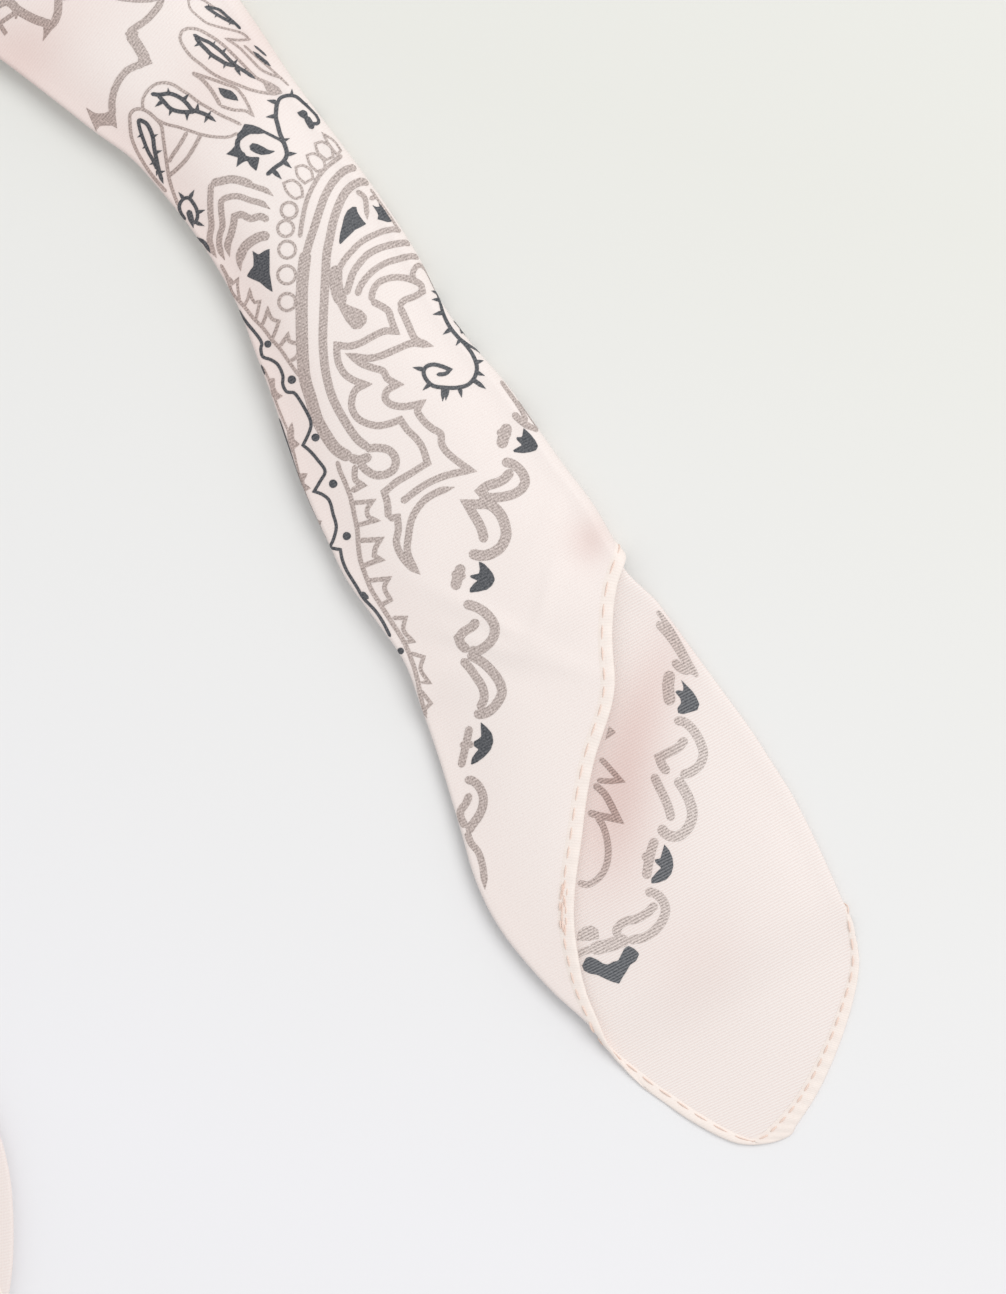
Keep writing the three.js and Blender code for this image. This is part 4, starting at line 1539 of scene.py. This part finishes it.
FRONT_SLATE = (
    # Eyelets in the teardrops
    Stroke(2.8, (
        (206, 10), (214, 11), (221, 13), (228, 19), (236, 26), (242, 32),
    ), spikes=((210, 7),)),
    Stroke(3, (
        (207, 10), (213, 14), (219, 18), (228, 23), (236, 27),
    ), spikes=((216, 21), (230, 28))),
    Stroke(3.5, (
        (195, 38), (202, 42), (211, 46), (218, 51), (225, 57), (232, 64), (239, 70), (247, 75),
        (257, 82),
    ), taper=END, spikes=((217, 44), (228, 51), (239, 62), (247, 71))),
    Stroke(4, (
        (197, 40), (202, 47), (208, 53), (213, 58), (221, 63), (228, 67), (237, 69),
    ), spikes=((196, 50), (210, 63), (225, 72), (242, 79))),
    Stroke(2.2, ((255, 48), (261, 53), (268, 59)), taper=BOTH),
    Stroke(3.6, ((254, 54), (262, 61), (272, 69)), taper=BOTH),
    Stroke(4, (
        (153, 97), (161, 98), (172, 97), (182, 101), (189, 107), (194, 113), (200, 115),
        (208, 118), (218, 125),
    ), taper=END, spikes=((170, 91), (191, 97), (200, 106), (213, 114), (206, 126))),
    Stroke(4, (
        (160, 98), (166, 105), (173, 112), (183, 115), (197, 115),
    ), spikes=((157, 110), (171, 119), (189, 124))),
    Stroke(4, (
        (140, 122), (148, 126), (152, 132), (155, 141), (156, 150), (158, 160), (160, 170),
        (162, 178), (165, 186),
    ), taper=END, spikes=((160, 137), (164, 153), (167, 173))),
    Stroke(3.5, (
        (140, 122), (142, 132), (146, 144), (150, 154), (155, 163), (159, 172),
    ), spikes=((139, 140), (144, 151), (151, 167), (158, 178))),
    Blob((
        (220, 91), (226, 92), (233, 94), (238, 99), (240, 104), (233, 103), (226, 101), (222, 97),
    ), (229, 98)),
    # The eye scroll
    Blob((
        (239, 137), (243, 133), (246, 127), (254, 128), (262, 131), (268, 136), (260, 137),
        (252, 137), (246, 140), (241, 145), (238, 146),
    ), (248, 134)),
    Stroke(5, ((240, 141), (239, 149), (242, 156), (247, 159))),
    Blob((
        (228, 157), (233, 153), (238, 147), (241, 154), (247, 160), (245, 163), (238, 160),
    ), (240, 156)),
    Blob(((240, 158), (238, 170), (245, 165), (251, 163), (247, 158)), (244, 162)),
    Blob((
        (246, 158), (252, 160), (261, 160), (260, 166), (258, 174), (252, 169), (249, 164),
    ), (254, 164)),
    Stroke(2.8, ((262, 133), (270, 137), (276, 140), (283, 144), (287, 151))),
    Stroke(4.2, (
        (278, 105), (277, 120), (279, 128), (281, 136), (284, 143), (287, 151), (288, 158),
        (284, 165), (277, 170), (268, 178),
    ), spikes=((298, 156), (293, 171), (283, 182), (267, 120), (291, 141), (268, 103))),
    Blob((
        (251, 149), (254, 146), (259, 147), (265, 150), (270, 153), (277, 154), (271, 157),
        (263, 158), (257, 156), (252, 153),
    ), (260, 152)),
    # Scrolls with drops
    Stroke(3.6, (
        (278, 108), (281, 101), (289, 98), (297, 99), (305, 105), (312, 111), (318, 117),
        (320, 123), (317, 127),
    ), spikes=((293, 91), (309, 104), (320, 115))),
    Blob((
        (298, 115), (304, 112), (308, 114), (309, 120), (312, 126), (308, 125), (305, 121),
        (301, 119),
    ), (305, 117)),
    Stroke(6.5, ((307, 119), (311, 126), (314, 131))),
    Stroke(3.5, ((312, 126), (320, 126))),
    Stroke(3.5, (
        (187, 222), (182, 214), (181, 207), (185, 201), (190, 200), (194, 204), (198, 211),
        (199, 219), (196, 226),
    ), spikes=((180, 194), (196, 192), (207, 212), (206, 228))),
    Stroke(6, ((190, 212), (192, 219), (195, 230)), taper=END),
    Stroke(4, ((197, 239), (205, 244), (208, 248), (212, 255)), taper=BOTH),
    # Star and leaves
    Blob((
        (254, 253), (260, 257), (266, 253), (271, 251), (271, 262), (271, 275), (274, 294),
        (268, 290), (261, 284), (254, 281), (248, 278), (251, 273), (255, 268), (255, 260),
    ), (263, 269)),
    Blob((
        (353, 209), (357, 209), (358, 214), (361, 219), (364, 223), (367, 226), (362, 229),
        (356, 232), (350, 238), (345, 243), (341, 247), (340, 245), (341, 236), (343, 228),
        (345, 219), (348, 213),
    ), (351, 225)),
    Blob((
        (373, 207), (377, 209), (381, 208), (379, 204), (383, 208), (386, 212), (389, 217),
        (393, 223), (388, 224), (382, 222), (378, 221), (379, 217), (377, 213),
    ), (383, 216)),
    # The large scroll
    Stroke(4, (
        (442, 290), (442, 302), (444, 315), (450, 328), (458, 338), (466, 346), (473, 356),
        (477, 368), (475, 378), (468, 386), (457, 389), (445, 389), (433, 387), (426, 380),
        (424, 373), (427, 368), (434, 366), (443, 368), (450, 371), (446, 375), (437, 376),
    ),
    spikes=(
        (432, 292), (432, 301), (433, 316), (443, 336), (456, 347), (413, 369), (423, 392),
        (443, 403), (446, 402), (462, 399), (486, 390), (485, 377), (485, 361),
    )),
    Stroke(3.5, ((460, 340), (470, 346), (480, 349), (488, 349))),
    Blob(((463, 328), (470, 327), (474, 333), (468, 332), (462, 334)), (468, 330)),
    Stroke(2.5, ((457, 320), (467, 328))),
    # The scalloped line with dots
    Stroke(3.2, (
        (239, 312), (247, 323), (260, 339), (263, 345), (262, 350), (264, 358), (272, 361),
        (279, 366), (284, 377), (284, 386), (288, 393), (295, 394), (300, 400), (306, 410),
        (311, 420), (312, 427), (309, 436), (304, 446), (311, 452), (318, 460), (326, 472),
        (321, 482), (315, 492), (323, 495), (330, 501), (334, 515), (337, 527), (334, 540),
        (330, 548), (341, 550), (343, 560), (347, 570), (353, 580), (358, 588), (364, 598),
        (376, 611), (384, 623), (391, 637),
    )),
    Stroke(2.6, (
        (279, 419), (285, 436), (290, 452), (295, 470), (299, 485), (304, 502), (311, 517),
    ), taper=BOTH),
    Stroke(2, ((262, 366), (266, 376))),
    dot(269, 345.5, 3.8),
    dot(293, 381, 4.4),
    dot(316.5, 438.5, 4.2),
    dot(334, 484.5, 4.4),
    dot(347.5, 536.5, 4.3),
    Stroke(3.5, ((363, 592), (369, 599))),
    dot(401, 651, 3.5),
    # Tulips
    Blob((
        (523.5, 429), (527, 432), (531, 436), (535, 441), (538, 447), (536, 451), (530, 453),
        (523, 454), (514, 453), (513, 451), (518, 448), (522, 446), (517, 441), (516, 438),
        (522, 438),
    ), (528, 446)),
    Blob((
        (479, 562), (484, 564), (489, 569), (493, 574), (495, 580), (492, 586), (487, 590),
        (478, 592), (470, 593), (470, 589), (474, 584), (478, 581), (471, 578), (470, 576),
        (474, 575), (479, 574), (480, 570),
    ), (485, 581)),
    Blob((
        (481, 722), (487, 727), (492, 733), (493.5, 741), (491, 749), (485, 756), (477, 762),
        (471, 764.5), (472, 758), (476, 752), (479, 749), (474, 745.5), (474, 741), (478, 739),
        (481.5, 736), (481, 728),
    ), (485, 744)),
)

BASE_TAUPE = (
    Stroke(5, ((657, 611), (664, 620), (672, 631), (680, 645), (688, 660), (697, 677))),
    Stroke(8.2, ((657, 622), (665, 631), (673, 641), (680, 652), (686, 662), (695, 674))),
    Stroke(8.2, ((673, 660), (680, 668), (690, 672))),
    Stroke(11.5, ((670, 671), (668, 686), (670, 705))),
    Stroke(7, ((662, 683), (668, 685))),
    Stroke(9.2, (
        (674, 720), (684, 722), (693, 730), (700, 742), (703, 754), (699, 765), (690, 772),
        (680, 775),
    )),
    Stroke(9.2, ((686, 738), (677, 748), (667, 753), (659, 757), (662, 765), (668, 773))),
    Stroke(8.6, ((653, 774), (658, 785), (664, 797), (669, 810), (671, 820))),
    Stroke(10.2, (
        (676, 778), (683, 788), (689, 800), (692, 813), (689, 825), (681, 834), (672, 836),
        (664, 832), (660, 825),
    )),
    Stroke(9.2, ((655, 838), (651, 850), (648, 864), (646, 878))),
    Stroke(8.2, ((643, 853), (650, 862))),
    Stroke(9.2, ((645, 891), (655, 893), (663, 901), (665, 912), (658, 926), (645, 936), (628, 940))),
    Stroke(8.6, ((656, 903), (647, 912), (637, 918), (625, 921), (617, 928), (617, 936))),
    Stroke(13, ((590, 949), (603, 946), (617, 942), (628, 938))),
    Stroke(7, ((573, 957), (581, 952), (592, 948))),
    Blob((
        (577, 940), (578, 931), (584, 926), (592, 925), (598, 929), (599, 938), (590, 940),
    ), (588, 933)),
    Blob(((609, 726), (616, 732), (605, 740), (607, 732)), (609, 732)),
    Stroke(5.5, ((600, 758), (606, 764), (613, 772), (620, 780), (610, 781), (597, 780))),
    Stroke(7, ((594, 784), (604, 793), (610, 803), (618, 819), (608, 817), (598, 815), (588, 812))),
    Stroke(6.5, (
        (597, 816), (603, 826), (607, 840), (608, 855), (605, 868), (598, 878), (588, 884),
        (578, 882),
    )),
)

BASE_SLATE = (
    Blob((
        (681, 680), (686, 685), (692, 691), (696, 697), (699, 704), (697, 710), (690, 712),
        (683, 714), (678, 713), (677, 708), (681, 703), (680, 698), (675, 692), (677, 690),
        (683, 691), (683, 686),
    ), (689, 701)),
    Blob((
        (664, 844), (669, 850), (672, 857), (673, 865), (671, 873), (666, 879), (658, 882),
        (651, 883), (651, 878), (656, 872), (661, 867), (656, 863), (654, 859), (660, 858),
        (662, 851),
    ), (665, 866)),
    Blob((
        (582, 965), (586, 957), (590, 956), (597, 959), (603, 963), (608, 964), (613, 961),
        (618, 960), (621, 954), (624, 948), (628, 945), (634, 948), (639, 953), (636, 960),
        (630, 964), (626, 971), (622, 977), (619, 983), (612, 981), (603, 977), (597, 974),
        (590, 973), (584, 970),
    ), (614, 972)),
)


@dataclass
class Print:
    """The print in one ink, as thin flat shapes just off the cloth."""

    square: FoldedSquare
    ink: Ink
    lift: float = 0.05
    level: float = 0.004
    step: float = 2.0
    sharp: float = 62.0
    mitre: float = 2.2
    arch_from: float = 150.0
    arch_shift: float = 142.0
    # A tapered end is as long as so many half widths, and starts with this share of the width.
    taper_reach: float = 3.2
    taper_tip: float = 0.04
    # The least square of a round end's share of the width.
    round_tip: float = 0.09
    # A wide stroke has more places across than a narrow one.
    wide: float = 5.0
    # Shapes that follow one another take so many heights in turn.
    heights: int = 5
    # No part of the print is nearer to the floor.
    floor_gap: float = 0.02

    def lines(self, stroke: Stroke) -> tuple[np.ndarray, np.ndarray, np.ndarray]:
        """Samples a stroke's middle line, smooth between its corners.

        Args:
            stroke: The stroke.

        Returns:
            Places in the view, distances along the stroke, and small heights that differ
            on the two sides of each corner.
        """
        points = np.array(stroke.points, float)
        if stroke.closed:
            points = np.concatenate([points, points[:1]])
        chord = np.diff(points, axis=0)
        turn = np.degrees(np.arctan2(chord[:, 1], chord[:, 0]))
        bend = np.abs((np.diff(turn) + 180) % 360 - 180)
        corners = [0, *(np.nonzero(bend > self.sharp)[0] + 1), len(points) - 1]
        parts = []
        levels = []
        for number, (low, high) in enumerate(zip(corners[:-1], corners[1:])):
            piece = points[low : high + 1]
            run = np.concatenate([[0], np.cumsum(np.hypot(*np.diff(piece, axis=0).T))])
            count = max(2, int(round(run[-1] / self.step)))
            at = np.linspace(0, run[-1], count + 1)
            sampled = np.stack([cubic(run, piece[:, k], at) for k in (0, 1)], 1)
            parts.append(sampled if high == len(points) - 1 else sampled[:-1])
            levels.append(np.full(len(parts[-1]), self.level * (number % 2)))
        line = np.concatenate(parts)
        run = np.concatenate([[0], np.cumsum(np.hypot(*np.diff(line, axis=0).T))])
        return line, run, np.concatenate(levels)

    def ribbon(self, stroke: Stroke) -> tuple[np.ndarray, np.ndarray, np.ndarray]:
        """Widens a stroke's middle line into a flat ribbon.

        The outer side is mitred at corners, up to a limit. Towards a round end at distance d
        the half width h becomes the square root of h squared less (h - d) squared, and
        towards a tapered end it falls in a straight line.

        Args:
            stroke: The stroke.

        Returns:
            Places in the view, triangles and heights.
        """
        line, run, levels = self.lines(stroke)
        half = np.full(len(line), stroke.width / 2)
        if not stroke.closed:
            ends = (run, run[-1] - run)
            for away, tapered in zip(ends, stroke.taper):
                if tapered:
                    reach = self.taper_reach * stroke.width / 2
                    half *= np.clip(away / reach + self.taper_tip, 0, 1)
                else:
                    d = np.minimum(away / (stroke.width / 2), 1)
                    half *= np.sqrt(np.clip(1 - (1 - d) ** 2, self.round_tip, 1))
        chord = np.diff(line, axis=0)
        chord /= np.maximum(np.linalg.norm(chord, axis=1, keepdims=True), 1e-9)
        if stroke.closed:
            before, after = np.roll(chord, 1, axis=0), chord
            before = np.concatenate([before, before[:1]])
            after = np.concatenate([after, after[:1]])
        else:
            before = np.concatenate([chord[:1], chord])
            after = np.concatenate([chord, chord[-1:]])
        tangent = before + after
        tangent /= np.maximum(np.linalg.norm(tangent, axis=1, keepdims=True), 1e-9)
        normal = np.stack([-tangent[:, 1], tangent[:, 0]], 1)
        cosine = np.abs(before[:, 0] * normal[:, 1] - before[:, 1] * normal[:, 0])
        turn = before[:, 0] * after[:, 1] - before[:, 1] * after[:, 0]
        shares = np.linspace(-1, 1, 5 if stroke.width > self.wide else 3)
        outer = turn[:, None] * shares < 0
        stretch = np.where(outer, 1 / np.maximum(cosine, 1 / self.mitre)[:, None], 1.0)
        aside = half[:, None] * shares * stretch
        places = line[:, None, :] + normal[:, None, :] * aside[..., None]
        index = np.arange(len(line) * len(shares)).reshape(len(line), len(shares))
        places = places.reshape(-1, 2)
        cells = grid_triangles(index, places)
        a, b, c = (places[cells[:, k]] for k in range(3))
        first, second = b - a, c - a
        right_way = first[:, 0] * second[:, 1] - first[:, 1] * second[:, 0] < 0
        return places, cells[right_way], np.repeat(levels, len(shares))

    def fill(self, blob: Blob) -> tuple[np.ndarray, np.ndarray, np.ndarray]:
        """Fills a blob's outline with rings round its middle.

        Args:
            blob: The blob.

        Returns:
            Places in the view, triangles and heights.
        """
        outline = np.array((*blob.outline, blob.outline[0]), float)
        run = np.concatenate([[0], np.cumsum(np.hypot(*np.diff(outline, axis=0).T))])
        count = int(run[-1] / self.step)
        at = np.linspace(0, run[-1], count + 1)
        edge = np.stack([np.interp(at, run, outline[:, k]) for k in (0, 1)], 1)
        shares = np.array([0.05, 0.4, 0.7, 1.0])
        middle = np.array(blob.middle)
        places = middle + (edge[:, None, :] - middle) * shares[None, :, None]
        index = np.arange(places.shape[0] * len(shares)).reshape(places.shape[:2])
        places = places.reshape(-1, 2)
        hub = len(places)
        cells = grid_triangles(index, places)
        inner = index[:, 0]
        fan = np.stack([inner[:-1], inner[1:], np.full(len(inner) - 1, hub)], 1)
        return np.concatenate([places, middle[None]]), np.concatenate([cells, fan]), np.zeros(hub + 1)

    def flat(self, shapes: tuple, layer: Layer) -> tuple[np.ndarray, np.ndarray, np.ndarray]:
        """Lays shapes of the view on the flat cloth.

        Args:
            shapes: Strokes and blobs.
            layer: The layer that they show on.

        Returns:
            Pairs of distance along and across, triangles, and small heights that keep
            crossing shapes apart.
        """
        made = []
        for shape in shapes:
            if isinstance(shape, Blob):
                made.append(self.fill(shape))
                continue
            made.append(self.ribbon(shape))
            if shape.spikes:
                line = self.lines(shape)[0]
                for tip in shape.spikes:
                    root = line[np.argmin(np.hypot(*(line - np.array(tip)).T))]
                    spike = Stroke(shape.width * 1.1, (tuple(root), tip), taper=END)
                    made.append(self.ribbon(spike))
        places = np.concatenate([m[0] for m in made])
        starts = np.cumsum([0, *(len(m[0]) for m in made[:-1])])
        triangles = np.concatenate([m[1] + start for m, start in zip(made, starts)])
        x, y = self.square.view.to_floor(places, self.square.layout)
        along, offset = self.square.layout.from_floor(x, y)
        across = self.square.across_at(along, offset, layer)
        heights = [m[2] + 2 * self.level * (k % self.heights) for k, m in enumerate(made)]
        return np.stack([along, across], 1), triangles, np.concatenate(heights)

    def build(self, builder: Builder, material: bpy.types.Material) -> bpy.types.Object:
        """Builds the print on both legs, the arch and the underside.

        The far leg has the near leg's print in mirror image. The arch has a stretch of it
        again, further along, and the underside has it mirrored in the band's right side.

        Args:
            builder: Adds the mesh.
            material: The ink.

        Returns:
            The print in this ink.
        """
        square = self.square
        length = square.layout.length
        taupe = self.ink is Ink.TAUPE
        front, cells, rise = self.flat(FRONT_TAUPE if taupe else FRONT_SLATE, Layer.FRONT)
        base, base_cells, base_rise = self.flat(BASE_TAUPE if taupe else BASE_SLATE, Layer.BASE)
        station = square.path["station"]
        bend = square.grid[2][:, int(np.argmin(np.abs(station - 5.5)))]
        middle = np.interp(front[:, 0], square.rows, bend)
        wrap = np.stack([front[:, 0], 2 * middle - front[:, 1]], 1)
        arch = cells[(front[cells, 0] > self.arch_from).all(axis=1)]
        closed = cells[(front[cells, 0] > 1.2 * square.layout.tail_length).all(axis=1)]
        shifted = front + np.array([self.arch_shift, 0])
        arch = arch[(shifted[arch, 0] < length - front[:, 0].max()).all(axis=1)]

        def mirror(flat: np.ndarray) -> np.ndarray:
            """Returns places on the other leg."""
            return np.stack([length - flat[:, 0], flat[:, 1]], 1)

        all_points, all_triangles, all_uv = [], [], []
        count = 0
        for flat, chosen, side, extra in (
            (front, cells, Side.FACE, rise),
            (mirror(front), cells, Side.FACE, rise),
            (shifted, arch, Side.FACE, rise),
            (wrap, closed, Side.FACE, rise),
            (mirror(wrap), closed, Side.FACE, rise),
            (base, base_cells, Side.REVERSE, base_rise),
            (mirror(base), base_cells, Side.REVERSE, base_rise),
            (base, base_cells, Side.FACE, base_rise),
            (mirror(base), base_cells, Side.FACE, base_rise),
        ):
            points, normals = square.place(flat[:, 0], flat[:, 1])
            normals = normals * side.value
            points = points + normals * (self.lift + extra)[:, None]
            points[:, 2] = np.maximum(points[:, 2], self.floor_gap)
            a, b, c = (points[chosen[:, k]] for k in range(3))
            facing = np.einsum("ij,ij->i", np.cross(b - a, c - a), normals[chosen[:, 0]])
            turned = np.where(facing[:, None] < 0, chosen[:, ::-1], chosen)
            all_points.append(points)
            all_triangles.append(turned + count)
            all_uv.append(flat)
            count += len(points)
        # The print gets the same painted shade as the cloth under it
        return builder.add(
            f"{self.ink.value}_print",
            np.concatenate(all_points),
            np.concatenate(all_triangles),
            material,
            f"print_{self.ink.value}",
            np.concatenate(all_uv),
            square.tone(*np.concatenate(all_uv).T),
        )


@dataclass
class Studio:
    """The floor, the lights and the camera."""

    view: View
    layout: Layout
    camera_height: float = 1.3

    def floor(self) -> None:
        """Lays a pale floor with painted light: lighter and bluer towards the lower left, darker and
        warmer towards the upper right.
        """
        size = 4.0
        mesh = bpy.data.meshes.new("floor")
        corners = [(-size, -size, 0), (size, -size, 0), (size, size, 0), (-size, size, 0)]
        mesh.from_pydata(corners, [], [(0, 1, 2, 3)])
        floor = bpy.data.objects.new("floor", mesh)
        bpy.context.scene.collection.objects.link(floor)
        material = bpy.data.materials.new("pale_floor")
        material.use_nodes = True
        nodes, links = material.node_tree.nodes, material.node_tree.links
        shader = nodes["Principled BSDF"]
        shader.inputs["Roughness"].default_value = 0.8
        place = nodes.new("ShaderNodeTexCoord")
        split = nodes.new("ShaderNodeSeparateXYZ")
        links.new(place.outputs["Object"], split.inputs[0])
        noise = nodes.new("ShaderNodeTexNoise")
        noise.inputs["Scale"].default_value = 9.0
        links.new(place.outputs["Object"], noise.inputs["Vector"])
        # Painted light: the floor's colour runs from lighter and bluer to darker and warmer across
        # the view, broken up by soft noise
        way = math_node(nodes, links, "MULTIPLY_ADD", split.outputs["X"], 1.5, 0.34)
        way = math_node(nodes, links, "MULTIPLY_ADD", split.outputs["Y"], 4.0, way)
        way = math_node(nodes, links, "MULTIPLY_ADD", noise.outputs["Fac"], 0.12, way)
        tint = nodes.new("ShaderNodeMix")
        tint.data_type = "RGBA"
        tint.inputs["A"].default_value = (0.885, 0.885, 0.912, 1)
        tint.inputs["B"].default_value = (0.79, 0.795, 0.755, 1)
        links.new(way, tint.inputs["Factor"])
        links.new(tint.outputs["Result"], shader.inputs["Base Color"])
        mesh.materials.append(material)

    def lights(self) -> None:
        """Sets a large soft light to the upper right, and an even pale surround."""
        world = bpy.data.worlds.new("surround")
        world.use_nodes = True
        world.node_tree.nodes["Background"].inputs["Color"].default_value = (1, 1, 1, 1)
        world.node_tree.nodes["Background"].inputs["Strength"].default_value = 0.7
        bpy.context.scene.world = world
        data = bpy.data.lights.new("key", "AREA")
        data.shape = "DISK"
        data.size = 1.1
        data.energy = 10.0
        data.color = (1.0, 0.985, 0.97)
        key = bpy.data.objects.new("key", data)
        key.location = (0.66, 0.55, 1.3)
        key.rotation_euler = (-key.location).to_track_quat("-Z", "Y").to_euler()
        bpy.context.scene.collection.objects.link(key)
        bpy.context.scene.view_settings.view_transform = "Standard"

    def camera(self) -> None:
        """Hangs the camera straight above the middle of the photograph's frame."""
        middle = np.array([[self.view.width_px / 2, self.view.height_px / 2]])
        x, y = self.view.to_floor(middle, self.layout)
        data = bpy.data.cameras.new("camera")
        data.sensor_fit = "VERTICAL"
        data.sensor_height = 36.0
        frame_height = self.view.height_px * self.view.mm_per_px * MM
        data.lens = data.sensor_height * self.camera_height / frame_height
        camera = bpy.data.objects.new("camera", data)
        camera.location = (float(x[0]) * MM, float(y[0]) * MM, self.camera_height)
        bpy.context.scene.collection.objects.link(camera)
        bpy.context.scene.camera = camera


def main() -> None:
    """Builds the studio and the scarf in order."""
    logging.basicConfig(level=logging.INFO, format="%(name)s: %(message)s")
    layout = Layout()
    view = View()
    studio = Studio(view, layout)
    studio.camera()
    studio.floor()
    studio.lights()

    builder = Builder(bpy.context.scene.collection)
    weave = weave_group()
    satin = SATIN.make(weave)
    square = FoldedSquare(layout, view)
    sheet = Cloth(square).build(builder, satin)
    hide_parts("folded_cloth")
    hem_satin = HEM_SATIN.make(weave)
    thread = THREAD.make(weave)
    on_sheet = []
    for leg in Leg:
        hem = Hem(square, leg)
        roll = hem.build(builder, hem_satin)
        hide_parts(f"{leg.value}_tail_flap_hem", f"{leg.value}_tail_side_hem")
        on_sheet += [roll, hem.stitches(builder, thread)]
    on_sheet.append(Print(square, Ink.TAUPE).build(builder, TAUPE.make(weave)))
    on_sheet.append(Print(square, Ink.SLATE, lift=0.09).build(builder, SLATE.make(weave)))


if __name__ == "__main__":
    main()
